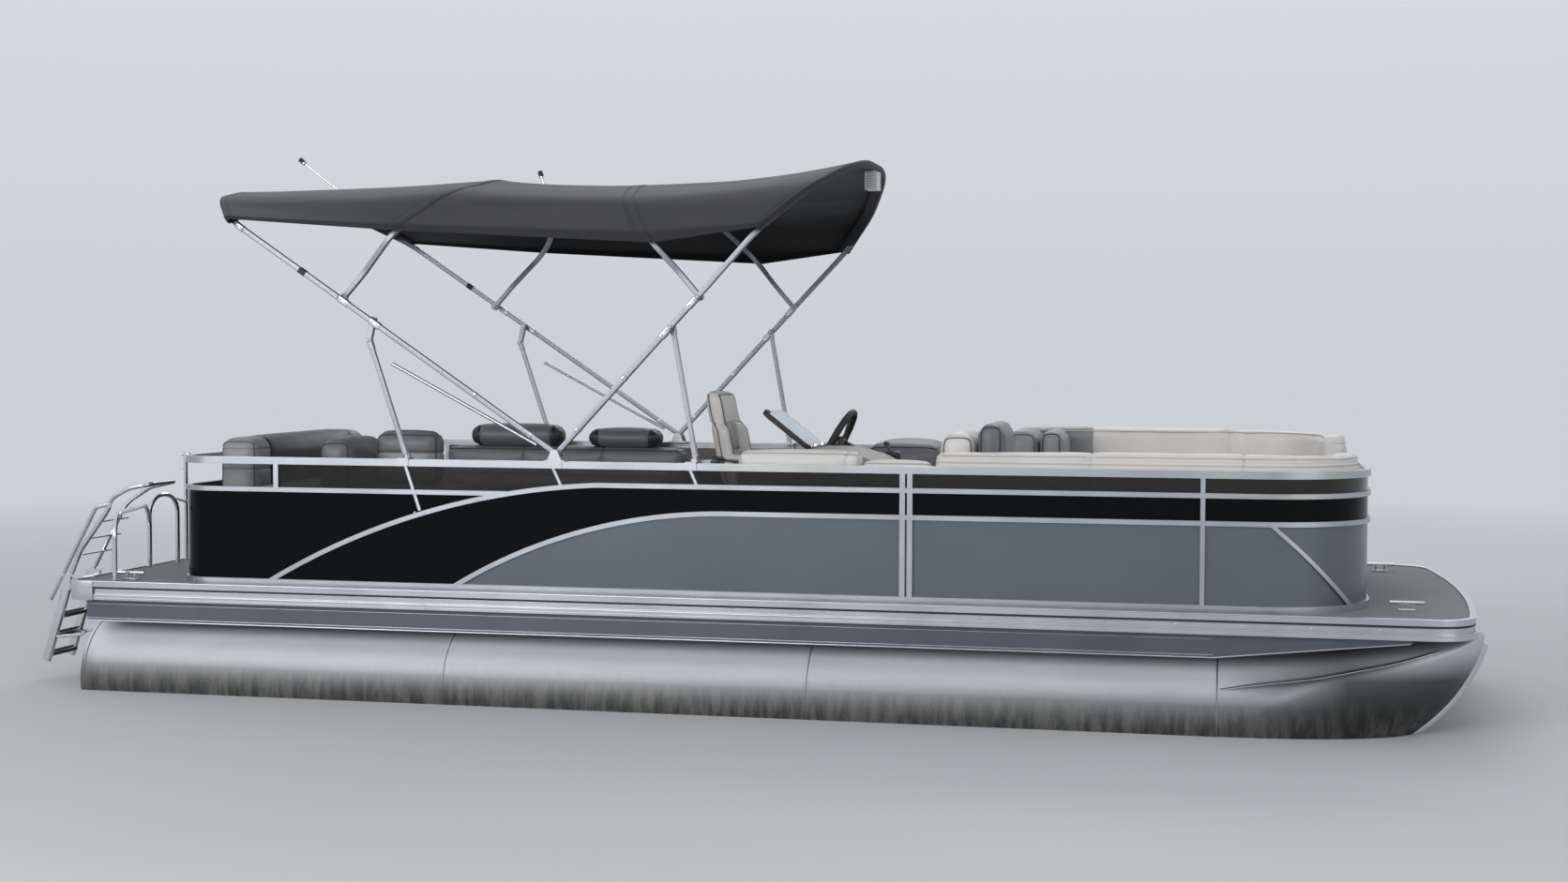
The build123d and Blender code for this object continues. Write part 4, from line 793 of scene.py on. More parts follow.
def blow_up(pieces):
    """Air pressure in each closed cover for 20 frames. The seams hold, and the result is applied."""
    scene = bpy.context.scene
    start = {}
    for obj in pieces:
        start[obj.name] = [v.co.copy() for v in obj.data.vertices]
        mod = obj.modifiers.new("cover", "CLOTH")
        cs = mod.settings
        cs.quality = 4
        cs.mass = 0.25
        cs.tension_stiffness = 14.0
        cs.compression_stiffness = 14.0
        cs.shear_stiffness = 4.0
        cs.bending_stiffness = 0.4
        cs.use_pressure = True
        cs.uniform_pressure_force = 4.0
        cs.vertex_group_mass = "held"
        cs.pin_stiffness = 1.0
        cs.effector_weights.gravity = 0.0
        mod.collision_settings.use_collision = False
        mod.point_cache.frame_start = 1
        mod.point_cache.frame_end = 20
    for f in range(1, 21):
        scene.frame_set(f)
    dg = bpy.context.evaluated_depsgraph_get()
    moved = {}
    for obj in pieces:
        now = obj.evaluated_get(dg).to_mesh()
        moved[obj.name] = [v.co.copy() for v in now.vertices]
        obj.evaluated_get(dg).to_mesh_clear()
    for obj in pieces:
        obj.modifiers.clear()
        first = start[obj.name]
        for v, a, b in zip(obj.data.vertices, first, moved[obj.name]):
            d = b - a
            flat = Vector((d.x, d.y, 0))
            up = d.z
            if flat.length > 1e-9:
                flat *= 0.0055 * math.tanh(flat.length / 0.0055) / flat.length
            up = 0.013 * math.tanh(up / 0.013)
            v.co = a + flat + Vector((0, 0, up))
        obj.data.update()
    scene.frame_set(1)
    return start


def finish_cushions():
    pieces = [row[0] for row in made if row[1]]
    start = blow_up(pieces)
    for obj, blown, lines, welt_key, welt_r, body in made:
        obj.vertex_groups.clear()
        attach(obj, body)
        if not lines:
            continue
        if obj.name in start:
            tree = KDTree(len(start[obj.name]))
            for i, p in enumerate(start[obj.name]):
                tree.insert(p, i)
            tree.balance()
            shifted = []
            for line in lines:
                out = []
                for q in line:
                    found = tree.find_n(q, 4)
                    move = Vector()
                    total = 0.0
                    for p, i, dist in found:
                        w = 1.0 / (dist + 0.002)
                        move += (obj.data.vertices[i].co - p) * w
                        total += w
                    out.append(q + move / total)
                shifted.append(out)
            lines = shifted
        parts = [cord_parts(line, welt_r, closed=True, count=7) for line in lines]
        join_parts(obj.name + "_piping", parts, welt_key, body)


def box_pad(x, y, z, r, crown=(5, 5, 9), seams=(), inset=None, **more):
    """Pad from ranges in boat millimetres. seams are (axis, place)."""
    base = P(0, 0, 0)
    inset = crown if inset is None else inset
    lo = P(min(x) + inset[0], min(y) + inset[1], min(z))
    hi = P(max(x) - inset[0], max(y) - inset[1], max(z) - inset[2])
    shift = (3490.0, 0.0, -866.0)
    rows = []
    for row in seams:
        axis, place = row[0], row[1]
        rows.append((axis, (place - shift[axis]) / 1000.0, row[2] if len(row) > 2 else None))
    return Pad(lo, hi, r / 1000.0, tuple(c / 1000.0 for c in crown), seams=rows, **more)


# bow lounges: backs that follow the fence, seats, arms and rolls
def band_warp(side, aft_x, inset):
    """Along the fence, outward, up: from local metres to the boat."""
    r = 500.0 - inset
    cx = 6720.0 - inset - r
    y = 1200.0 - inset
    run = (cx - aft_x) / 1000.0
    turn = r * math.pi / 2 / 1000.0

    def warp(q):
        s = q.x
        if s < run:
            place = (aft_x + s * 1000.0, -y)
            out = (0.0, -1.0)
        elif s < run + turn:
            a = (s - run) * 1000.0 / r
            place = (cx + r * math.sin(a), -(y - r) - r * math.cos(a))
            out = (math.sin(a), -math.cos(a))
        else:
            place = (cx + r, -(y - r) + (s - run - turn) * 1000.0)
            out = (1.0, 0.0)
        x = place[0] + out[0] * q.y * 1000.0
        yy = place[1] + out[1] * q.y * 1000.0
        return P(x, yy if side < 0 else -yy, q.z * 1000.0)
    return warp, run, turn


lounge_rows = (
    ("starboard", -1, 4640.0, 750.0, 837.0, 887.0, (5405.0, 6128.0)),
    ("port", 1, 4810.0, 800.0, 800.0, 800.0, (5268.0, 6046.0)),
)
bow_lines = []
for side_name, side, aft_x, back_top, arm_top, roll_top, splits in lounge_rows:
    warp, run, turn = band_warp(side, aft_x, 110.0)
    length = run + turn + 0.230
    seams = [(0, (x - aft_x) / 1000.0, None) for x in splits]
    for fall in (0.040, 0.062):
        seams.append((2, back_top / 1000.0 - fall, lambda p: p.y > 0.02))
    back = Pad((0.004, -0.069, 0.4008), (length - 0.004, 0.069, back_top / 1000.0 - 0.010), 0.044,
               (0.003, 0.005, 0.010), seams=seams, warp=warp, seed=side * 3.0, depth=0.008, tuck=0.0)
    tints = [(0.0, seams[0][1], 0, "mid")] if side > 0 else []
    obj = cushion(f"bow_back_{side_name}", back, "light", tints=tints,
        replaces=(f"bow_cushions_{side_name}",),
                  welts=(), step=0.03)
    # piping along the inner and outer top edges
    for out_side in (-1, 1):
        line = []
        count = 90
        for k in range(count + 1):
            s = 0.03 + (length - 0.06) * k / count
            line.append(back.shape(Vector((s, out_side * 0.069, back.hi.z)), 0.0008))
        bow_lines.append((obj, line))

    wall = 1200.0 - 35.0 - 150.5
    seat_x = aft_x + 331.0
    lim_x = 6720.0 - 185.5
    radius = 500.0 - 185.5

    def seat_warp(q, side=side, wall=wall, lim_x=lim_x, radius=radius):
        x = q.x * 1000.0 + 3490.0
        share = (q.y - 0.470) / (wall / 1000.0 - 0.470)
        cx = lim_x - radius
        if x > cx:
            limit = (wall - radius) + math.sqrt(max(radius * radius - min(x - cx, radius) ** 2, 0.0))
        else:
            limit = wall
        y = 470.0 + share * (limit - 470.0)
        return Vector(((x - 3490.0) / 1000.0, side * y / 1000.0, q.z))

    lo = P(seat_x + 3, 474, 400.8)
    hi = P(lim_x - 6, wall - 4, 512.0)
    seat_seams = [(0, (x - 3490.0) / 1000.0, None) for x in splits]
    seat = Pad(lo, hi, 0.03, (0.003, 0.003, 0.008), seams=seat_seams, warp=seat_warp, seed=side * 5.0,
        depth=0.007)
    cushion(f"bow_seat_{side_name}", seat, "light", welts=((2, 1),), welt_key="welt_light", step=0.036)
    edge = (side * 470.0, side * (wall))
    arm = box_pad((aft_x, aft_x + 190), sorted(edge), (400.8, arm_top), 72, (6, 5, 8), seed=2.0 + side,
                  seams=((2, 560.0),), wrinkle=0.002)
    cushion(f"bow_arm_{side_name}", arm, "light" if side < 0 else "mid", welts=((1, -1), (1, 1)),
        welt_key="welt", step=0.026)
    roll = box_pad((aft_x + 190.5, aft_x + 330.5), sorted(edge), (400.8, roll_top), 64, (6, 5, 8),
        seed=4.0 + side,
                   wrinkle=0.002)
    cushion(f"bow_roll_{side_name}", roll, "grey" if side < 0 else "mid", welts=((1, -1), (1, 1)),
        welt_key="charcoal", step=0.026)

# couch to port
couch = box_pad((1260, 2790), (960, 1130), (400.8, 645), 38, (5, 4, 7), seams=((0, 1770), (0, 2280)),
    seed=7.0)
cushion("couch_back", couch, "grey", replaces=("couch_cushions_port",), welts=((2, 1),),
    welt_key="charcoal")
couch_seat = box_pad((1260, 2790), (520, 959.5), (400.8, 520), 30, (4, 4, 9), seams=((0, 1770), (0, 2280)),
    seed=8.0)
cushion("couch_seat", couch_seat, "mid", welts=((2, 1),), welt_key="welt")
for n, (x0, x1, top) in enumerate(((1410, 2010, 785), (2180, 2640, 765))):
    b = box_pad((x0, x1), (955, 1125), (646, top), 58, (8, 6, 9), seams=((0, x0 + 70), (0, x1 - 70)),
        seed=9.0 + n, wrinkle=0.003)
    cushion(f"couch_bolster_{n + 1}", b, "grey",
        tints=[(-9.0, (x0 + 70 - 3490) / 1000.0, 0, "charcoal"),
            ((x1 - 70 - 3490) / 1000.0, 9.0, 0, "charcoal")],
            welts=((0, -1), (0, 1)), welt_key="charcoal", step=0.024)

# single seat to port
single = box_pad((3980, 4430), (620, 1130), (400.8, 716), 70, (8, 8, 14), seams=((2, 560),), seed=12.0,
    wrinkle=0.004)
cushion("single_seat", single, "grey", replaces=("single_cushion_port",), welts=((2, 1),),
    welt_key="charcoal", step=0.026)

# seat across the stern
stern_back = box_pad((750, 980), (-1040, 400), (400.8, 770), 62, (6, 6, 9),
    seams=((1, -850), (1, 215), (2, 704, lambda p: p.y < -0.85), (2, 596, lambda p: p.y < -0.85)),
        seed=14.0, wrinkle=0.0025)
cushion("stern_back", stern_back, "mid", replaces=("stern_cushions",),
    tints=[(-0.85, 0.215, 1, "charcoal")],
        welts=((1, -1), (1, 1)), welt_key="welt", step=0.03)
stern_seat = box_pad((980.5, 1300), (-1040, 400), (400.8, 520), 30, (4, 4, 8), seams=((1, -560), (1, -80)),
    seed=15.0)
cushion("stern_seat", stern_seat, "mid", welts=((2, 1),), welt_key="welt")

# seat along the starboard side
side_back = box_pad((1360, 1560), (-1130, -640), (400.8, 775), 66, (8, 7, 10), seams=((2, 600),), seed=17.0,
    wrinkle=0.003)
cushion("side_back", side_back, "grey", replaces=("side_cushions_starboard",),
    tints=[(0.0, (600 + 866) / 1000.0, 2, "mid")],
        welts=((1, -1), (1, 1)), welt_key="charcoal", step=0.026)
side_seat = box_pad((1560.5, 2050), (-1130, -640), (400.8, 520), 30, (4, 4, 9), seams=((1, -885),),
    seed=18.0)
cushion("side_seat", side_seat, "mid", welts=((2, 1),), welt_key="welt")
side_bolster = box_pad((1580, 1960), (-900, -760), (521, 810), 62, (8, 8, 9), seams=((2, 690),), seed=19.0,
    wrinkle=0.003)
cushion("side_bolster", side_bolster, "grey", tints=[(0.0, (690 + 866) / 1000.0, 2, "mid")],
    welts=((1, -1), (1, 1)), welt_key="charcoal", step=0.024)

# pads on the console's locker
long_pad = box_pad((3650, 4280), (-1165, -1060), (560.8, 746), 40, (5, 4, 8), seams=((0, 4205),), seed=21.0)
cushion("locker_pad_aft", long_pad, "light", replaces=("console_pads",), welts=((2, 1), (1, -1)),
    welt_key="welt_light", step=0.026)
short_pad = box_pad((4280.5, 4630), (-1165, -1060), (560.8, 700), 30, (4, 4, 8), seed=22.0)
cushion("locker_pad_fore", short_pad, "light", welts=((2, 1),), welt_key="welt_light", step=0.026)

# helm chair
def chair_warp(q):
    """Narrower head above the shoulders, sides wrapped forward, back leaning aft."""
    z = q.z * 1000.0 - 866.0
    y = q.y * 1000.0 + 250.0
    k = min(max((z - 800.0) / 70.0, 0.0), 1.0)
    k = k * k * (3 - 2 * k)
    width = 1.0 - 0.20 * k
    lower = min(max((640.0 - z) / 140.0, 0.0), 1.0)
    width *= 1.0 - 0.12 * lower * lower
    wrap = 62.0 * (abs(y) / 215.0) ** 2.4 * (1 - 0.55 * k)
    x = q.x * 1000.0 + 3490.0 + 58.0 - 0.185 * (z - 504.0) + wrap
    return P(x, y * width - 250.0, z)


chair_back = box_pad((3300, 3400), (-465, -35), (504, 1020), 44, (5, 5, 8),
                     seams=((1, -350, lambda p: p.z < 1.70), (1, -150, lambda p: p.z < 1.70), (2, 846),
                         (2, 700, lambda p: -0.35 < p.y < -0.15)),
                     seed=24.0, flat_base=False, warp=chair_warp, depth=0.009, wrinkle=0.003)
cushion("chair_back", chair_back, "light", body="chair", replaces=("chair_cushions",),
        tints=[(lambda c: -0.35 < c.y < -0.15 and c.z < 1.712 and c.x > -0.14, "mid")],
            welts=((0, 1), (0, -1)), welt_key="welt", step=0.022)
chair_seat = box_pad((3330, 3740), (-465, -35), (390.8, 500), 38, (5, 5, 9),
    seams=((1, -350), (1, -150), (0, 3640)), seed=25.0)
cushion("chair_seat", chair_seat, "light", body="chair",
    tints=[(lambda c: -0.35 < c.y < -0.15 and c.x < 0.15 and c.z > 1.34, "mid")],
        welts=((2, 1),), welt_key="welt", step=0.024)

# Pontoons

def arc_through(a, m, b, count):
    """Points from a to b on the circle through m, as (y, z) pairs, without b."""
    ax, ay = a
    bx, by = b
    mx, my = m
    d = 2 * (ax * (my - by) + mx * (by - ay) + bx * (ay - my))
    ux = (
        (ax * ax + ay * ay) * (my - by) + (mx * mx + my * my) * (by - ay)
        + (bx * bx + by * by) * (ay - my)
    ) / d
    uy = (
        (ax * ax + ay * ay) * (bx - mx) + (mx * mx + my * my) * (ax - bx)
        + (bx * bx + by * by) * (mx - ax)
    ) / d
    r = math.hypot(ax - ux, ay - uy)
    a0 = math.atan2(ay - uy, ax - ux)
    a1 = math.atan2(by - uy, bx - ux)
    am = math.atan2(my - uy, mx - ux)
    turn = (a1 - a0) % (2 * math.pi)
    if (am - a0) % (2 * math.pi) > turn:
        turn -= 2 * math.pi
    return [(ux + r * math.cos(a0 + turn * k / count),
        uy + r * math.sin(a0 + turn * k / count)) for k in range(count)]


nose_rows = [Vector(row) for row in (
    (6010, -216, -533.5, -851, 317.5, 0.7071),
    (6240, -209, -430, -838, 312, 0.715),
    (6460, -196, -320, -797, 303, 0.72),
    (6660, -172, -262, -735, 282, 0.715),
    (6850, -140, -222, -645, 252, 0.70),
    (6990, -121, -182, -545, 210, 0.68),
    (7110, -106, -150, -420, 160, 0.66),
    (7190, -98, -124, -290, 105, 0.64),
    (7245, -92, -104, -160, 42, 0.62),
)]


def nose_section(row, shrink=0.0):
    """Closed section of the tube or nose, as (y, z) from the tube's middle plane."""
    x, top, shoulder, keel, half, full = row
    mid = (half * full, shoulder + (keel - shoulder) * full)
    right = arc_through((0, keel), mid, (half, shoulder), 15)
    over = arc_through((half, shoulder), (0, top), (-half, shoulder), 18)
    left = arc_through((-half, shoulder), (-mid[0], mid[1]), (0, keel), 15)
    out = right + over + left
    if shrink:
        cz = (top + keel) / 2
        k = 1 - shrink / half
        out = [(y * k, cz + (z - cz) * k) for y, z in out]
    return out


def pontoon(name, side):
    mid_y = 930.0 * side
    rows = []
    full = Vector(nose_rows[0])
    for x, shrink in ((54, 310), (52, 240), (47, 150), (41, 60), (40, 32), (41.5, 21), (46, 11), (54, 3.5),
            (66, 0.3)):
        row = full.copy()
        row[0] = x
        rows.append((row, shrink))
    n = 96
    for k in range(1, n + 1):
        row = full.copy()
        row[0] = 66 + (6010 - 66) * k / n
        rows.append((row, 0.0))
    for row in catmull(nose_rows, 5)[1:]:
        rows.append((row, 0.0))
    verts = []
    faces = []
    m = 48
    for row, shrink in rows:
        x = row[0]
        for y, z in nose_section(row, shrink):
            p = P(x, mid_y + y, z)
            if 90 < x < 6900:
                out = Vector((0, y, z + 533.5)).normalized()
                wave = noise.noise(Vector((p.x * 2.1, y / 260.0, z / 230.0 + side * 7)))
                p += out * 0.0011 * wave
            verts.append(p)
    for i in range(len(rows) - 1):
        for k in range(m):
            faces.append((i * m + k, i * m + (k + 1) % m, (i + 1) * m + (k + 1) % m, (i + 1) * m + k))
    faces.append(tuple(range(m)))
    faces.append(tuple((len(rows) - 1) * m + k for k in range(m - 1, -1, -1)))
    skin = mesh_piece(name, verts, faces, "tube")
    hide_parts("pontoon_starboard" if side < 0 else "pontoon_port")

    # weld beads round the seams
    parts = []
    for x, r in ((2112.0, 2.4), (4020.0, 2.4), (6012.0, 3.4), (72.0, 2.6)):
        loop = [P(x, mid_y + y * 1.003, z) for y, z in nose_section(full)]
        parts.append(cord_parts(loop, r / 1000.0, closed=True, count=6))
    join_parts(name + "_welds", parts, "hull")

    # keel bar and its rake up the stem
    line = [P(300, mid_y, -847), P(330, mid_y, -852)]
    for k in range(1, 40):
        line.append(P(330 + (6010 - 330) * k / 40, mid_y, -852))
    for a, mm, b in (((6010, -866), (6468, -814), (6866, -654)),
            ((6866, -654), (7126, -432), (7270, -150))):
        pts = arc_through(a, mm, b, 14)
        for x, z in pts:
            line.append((x, z))
    line.append((7270, -150))
    path = []
    for i, q in enumerate(line):
        if isinstance(q, tuple):
            back = line[i - 1] if isinstance(line[i - 1], tuple) else (5900, -866)
            ahead = line[i + 1] if i + 1 < len(line) else (7285, -110)
            dx, dz = ahead[0] - back[0], ahead[1] - back[1]
            size = math.hypot(dx, dz)
            path.append(P(q[0] - dz / size * 14, mid_y, q[1] + dx / size * 14))
        else:
            path.append(q)
    join_parts(name + "_keel", [sweep(path, rounded_rect(0.024, 0.028, 0.004))], "trim", sharp=35)

    # riser between tube and cross members: web and top flange
    parts = [box_parts(P(120, mid_y - 62, -240), P(5920, mid_y + 62, -146), 0.006),
             box_parts(P(120, mid_y - 75, -150), P(5920, mid_y + 75, -140.2), 0.003)]
    join_parts(name + "_riser", parts, "hull", sharp=35)

    # spray strake on the outboard side of the nose
    spine = catmull([Vector((6024, 268, -368)), Vector((6240, 292, -327)), Vector((6460, 300, -292)),
                     Vector((6660, 284, -250)), Vector((6850, 250, -210)), Vector((7030, 192, -163))], 6)
    verts = []
    faces = []
    count = len(spine)
    for i, q in enumerate(spine):
        t = i / (count - 1)
        w = 36.0 * min(1.0, 0.12 + 3.2 * t) * min(1.0, 0.15 + 2.6 * (1 - t))
        for dy, dz in ((-26, 5), (w * 0.6, 4.0), (w, 1.2), (w, -2.0), (w * 0.6, -4.5), (-26, -9)):
            verts.append(P(q[0], mid_y + side * (q[1] + dy), q[2] + dz))
    for i in range(count - 1):
        for k in range(6):
            faces.append((i * 6 + k, i * 6 + (k + 1) % 6, (i + 1) * 6 + (k + 1) % 6, (i + 1) * 6 + k))
    faces.append(tuple(range(6)))
    faces.append(tuple((count - 1) * 6 + k for k in range(6)))
    join_parts(name + "_strake", [(verts, faces)], "trim", sharp=40)


pontoon("tube_starboard", -1)
pontoon("tube_port", 1)


# Deck edge

def deck_line(inset, z):
    """Outline of the deck moved inward by inset, anticlockwise from the starboard stern corner."""
    half = 1295.0 - inset
    rs = 90.0 - inset
    rb = 200.0 - inset
    front = 7170.0 - inset
    big = (half * half + 80.0 * 80.0) / (2 * 80.0)
    cx = front + 80.0 - big
    side = half - rb
    meet = math.sqrt((big - rb) ** 2 - side * side)
    ccx = cx + meet
    lean = math.atan2(side, meet)
    out = []
    for k in range(60):
        out.append((inset + rs + (ccx - inset - rs) * k / 60, -half))
    for k in range(12):
        a = -math.pi / 2 + (math.pi / 2 - lean) * k / 12
        out.append((ccx + rb * math.cos(a), -side + rb * math.sin(a)))
    for k in range(30):
        a = -lean + 2 * lean * k / 30
        out.append((cx + big * math.cos(a), big * math.sin(a)))
    for k in range(12):
        a = lean + (math.pi / 2 - lean) * k / 12
        out.append((ccx + rb * math.cos(a), side + rb * math.sin(a)))
    for k in range(60):
        out.append((ccx + (inset + rs - ccx) * k / 60, half))
    for k in range(10):
        a = math.pi / 2 + math.pi / 2 * k / 10
        out.append((inset + rs + rs * math.cos(a), half - rs + rs * math.sin(a)))
    for k in range(14):
        out.append((inset, (half - rs) * (1 - 2 * k / 14)))
    for k in range(10):
        a = math.pi + math.pi / 2 * k / 10
        out.append((inset + rs + rs * math.cos(a), -(half - rs) + rs * math.sin(a)))
    return [P(x, y, z) for x, y in out]


UP = Vector((0, 0, 1))
edge_rows = (
    ("deck_edge_bead", 1.0, 3.0, rounded_rect(0.006, 0.006, 0.0026), "trim"),
    ("rub_insert", 4.5, -30.0, rounded_rect(0.012, 0.010, 0.004), "rubber"),
    ("rub_rib_upper", 8.0, -38.5, rounded_rect(0.004, 0.004, 0.0016), "trim"),
    ("rub_rib_lower", 8.0, -61.0, rounded_rect(0.004, 0.003, 0.0012), "trim"),
    ("rub_foot_bead", 2.4, -68.0, rounded_rect(0.006, 0.006, 0.0025), "trim"),
    ("rub_foot_rib", 2.0, -84.0, rounded_rect(0.003, 0.003, 0.0012), "trim"),
)
for name, inset, z, profile, key in edge_rows:
    join_parts(name, [sweep(deck_line(inset, z), profile, closed=True, up=UP)], key, sharp=40)
join_parts("deck_cover_edge",
    [sweep(deck_line(27.5, 0.6), rounded_rect(0.005, 0.0026, 0.001), closed=True, up=UP)], "rubber")

# cast corners of the rub rail
parts = []
for ys in (-1, 1):
    line = []
    for k in range(15):
        a = math.pi + math.pi / 2 * (k / 14)
        line.append(P(90 + 92 * math.cos(a), ys * (1205 - 92 * math.sin(a) - 0), 0))
    ext = [line[0] + Vector((0, -ys * 0.055, 0))] + line + [line[-1] + Vector((0.07, 0, 0))]
    ext = [Vector((q.x, q.y, P(0, 0, -46).z)) for q in ext]
    parts.append(sweep(ext, rounded_rect(0.006, 0.104, 0.0028, 3), up=UP))
    for z in (-22, -74):
        parts.append(bolt_parts(P(20, ys * 1130, z), Vector((-1, 0, 0)), 0.006, 0.004))
join_parts("rub_corners_stern", parts, "steel", sharp=40)

# skirt hems: folded edge and two stiffening lines
parts = []
for ys in (-1, 1):
    for z, r in ((-209.0, 3.2), (-196.0, 1.6), (-120.0, 1.2)):
        line = [P(97 + (5990 - 97) * k / 30, ys * 1250.5, z) for k in range(31)]
        parts.append(sweep(line, rounded_rect(0.004, r * 0.002, r * 0.0008), up=UP))
    slope = [P(5990, ys * 1250.5, -209), P(6300, ys * 1250.5, -177), P(6600, ys * 1250.5, -146),
        P(6890, ys * 1250.5, -116)]
    parts.append(sweep(slope, rounded_rect(0.004, 0.006, 0.002), up=UP))
join_parts("skirt_hems", parts, "trim", sharp=40)

# screws along the rub rail
parts = []
for ys in (-1, 1):
    for k in range(22):
        parts.append(bolt_parts(P(240 + 310 * k, ys * 1286.5, -50), Vector((0, ys, 0)), 0.0045, 0.0025))
join_parts("rub_screws", parts, "steel")


# Fence trim

def fence_path(inset, z, gates=True):
    """Runs of the fence line at one height, broken at the two gates."""
    pts = plan_fence(inset)
    if not gates:
        return [[P(x, y, z) for x, y in pts]]
    runs = []
    run = []
    for x, y in pts + pts[:1]:
        bow_gap = x > 6650 and abs(y) < 352 + 1
        stern_gap = x < 640 and 440 < y < 1040
        if bow_gap or stern_gap:
            if len(run) > 1:
                runs.append(run)
            run = []
        else:
            run.append(P(x, y, z))
    if len(run) > 1:
        runs.append(run)
    return runs


rib = rounded_rect(0.0032, 0.0028, 0.0012, 2)
parts = []
for z in (645.0, 655.0, 665.0, 8.0, 17.0, 26.0):
    for inset in (-0.6, 30.6):
        for run in fence_path(inset, z):
            parts.append(sweep(run, rib, up=UP))
join_parts("rail_flutes", parts, "trim", sharp=50)
parts = []
for inset in (9.0, 21.0):
    for run in fence_path(inset, 672.4):
        parts.append(sweep(run, rib, up=UP))
join_parts("rail_top_flutes", parts, "trim", sharp=50)

# paired lines on the posts
parts = []
for x in (4514.0 - 18.5, 4514.0 + 18.5):
    for d in (-6.0, 6.0):
        line = [P(x + d, -1200.6, z) for z in (36, 200, 400, 636)]
        parts.append(sweep(line, rib, up=Vector((1, 0, 0))))
        line = [P(x + d, 1200.6, z) for z in (36, 200, 400, 636)]
        parts.append(sweep(line, rib, up=Vector((1, 0, 0))))
join_parts("post_flutes", parts, "trim", sharp=50)

# rivets along the rails
parts = []
for x in [700 + 300 * k for k in range(19)]:
    for ys in (-1, 1):
        parts.append(bolt_parts(P(x, ys * 1200.4, 12.5), Vector((0, ys, 0)), 0.0038, 0.0022))
join_parts("rail_rivets", parts, "steel")


# Canopy

def rounded_route(points, radii, counts):
    """Open polyline with arcs in its corners, sampled. counts are points per straight run and per arc."""
    corners = []
    n = len(points)
    for i in range(1, n - 1):
        a = Vector(points[i - 1])
        b = Vector(points[i])
        c = Vector(points[i + 1])
        u = (a - b).normalized()
        v = (c - b).normalized()
        angle = u.angle(v)
        reach = radii[i - 1] / math.tan(angle / 2) if angle < math.pi - 1e-4 else 0.0
        reach = min(reach, (a - b).length * 0.48, (c - b).length * 0.48)
        corners.append((b, u, v, angle, reach))
    out = []
    here = Vector(points[0])
    for i, (b, u, v, angle, reach) in enumerate(corners):
        start = b + u * reach
        end = b + v * reach
        for k in range(counts[0]):
            out.append(here.lerp(start, k / counts[0]))
        r = reach * math.tan(angle / 2)
        if r > 1e-6 and reach > 1e-6:
            centre = b + (u + v).normalized() * (r / math.sin(angle / 2))
            s = start - centre
            e = end - centre
            total = s.angle(e)
            for k in range(counts[1]):
                t = k / counts[1]
                way = (
                    (s * math.sin((1 - t) * total) + e * math.sin(t * total)) / math.sin(total)
                    if total > 1e-5 else s.lerp(e, t)
                )
                out.append(centre + way)
        else:
            for k in range(counts[1]):
                out.append(start.lerp(end, k / counts[1]))
        here = end
    last = Vector(points[-1])
    for k in range(counts[0] + 1):
        out.append(here.lerp(last, k / counts[0]))
    return out


def canopy_section(foot, angle, profile, radii, low, shift, rise, grown):
    """Whole section in 3-D, starboard edge to port edge, at the canopy's outer face or the bow's middle."""
    ca = math.cos(math.radians(angle))
    sa = math.sin(math.radians(angle))
    if grown:
        side = 1226.0
        half = [Vector((side, low)), Vector((side, profile[0][0])),
                Vector((profile[1][1] + (side - 1180.0) / 2, profile[1][0] + 6.4)),
                Vector((profile[2][1], profile[2][0] + 8.0))]
    else:
        half = [Vector((profile[0][1], low)), Vector((profile[0][1], profile[0][0])),
            Vector((profile[1][1], profile[1][0])),
                Vector((profile[2][1], profile[2][0]))]
        shift = 0.0
        rise = 0.0
    route = [Vector((-q.x, q.y)) for q in half] + [Vector(q) for q in reversed(half)]
    rr = list(radii) + list(reversed(radii))
    pts = rounded_route(route, [r + (22.0 if grown else 0.0) for r in rr], (5, 7))
    return [P(foot[0] + shift + q.y * ca, q.x, foot[1] + rise + q.y * sa) for q in pts]


pivot = (2710.0, 717.0)
aft_hinge = (pivot[0] + 1425 * math.cos(math.radians(146.1)),
    pivot[1] + 1425 * math.sin(math.radians(146.1)))
fore_hinge = (pivot[0] + 1081 * math.cos(math.radians(47.0)),
    pivot[1] + 1081 * math.sin(math.radians(47.0)))
canopy_rows = (
    (pivot, 146.1, ((2160.2, 1200.0), (2370.7, 930.0), (2506.0, 420.0)), (280, 600, 1300), 2130.0, -9.0,
        14.4),
    (aft_hinge, 48.1, ((476.3, 1180.0), (727.4, 908.6), (866.0, 413.0)), (200, 450, 900), 440.0, 0.0, 14.6),
    (fore_hinge, 130.7, ((402.0, 1180.0), (659.3, 908.6), (804.0, 413.0)), (180, 450, 900), 335.0, 0.0,
    14.6),
    (pivot, 47.0, ((1550.0, 1180.0), (1819.9, 955.8), (2087.0, 424.8)), (280, 600, 1300), 1525.0, 9.0,
    15.4),
)
outer = [canopy_section(f, a, prof, rad, low, sh, ri, True) for f, a, prof, rad, low, sh, ri in canopy_rows]
inner = [canopy_section(f, a, prof, rad, low, sh, ri, False) for f, a, prof, rad, low, sh,
    ri in canopy_rows]
M = len(outer[0])

# across: how far each column is from the edges, in metres
across = [0.0]
for k in range(1, M):
    across.append(across[-1] + (outer[1][k] - outer[1][k - 1]).length)
width = across[-1]


def sag_at(span, t, j):
    """Fall of the sheet between two bows, inward from the line between them."""
    s = across[j] / width
    top = max(0.0, 1 - abs(s - 0.5) / 0.30)
    top = top * top * (3 - 2 * top)
    deep = (0.010, 0.008, 0.040)[span]
    bell = 4 * t * (1 - t)
    soft = (0.010, 0.009, 0.016)[span] * math.sin(math.pi * min(s, 1 - s) * 2)
    return bell * (deep * top + soft)


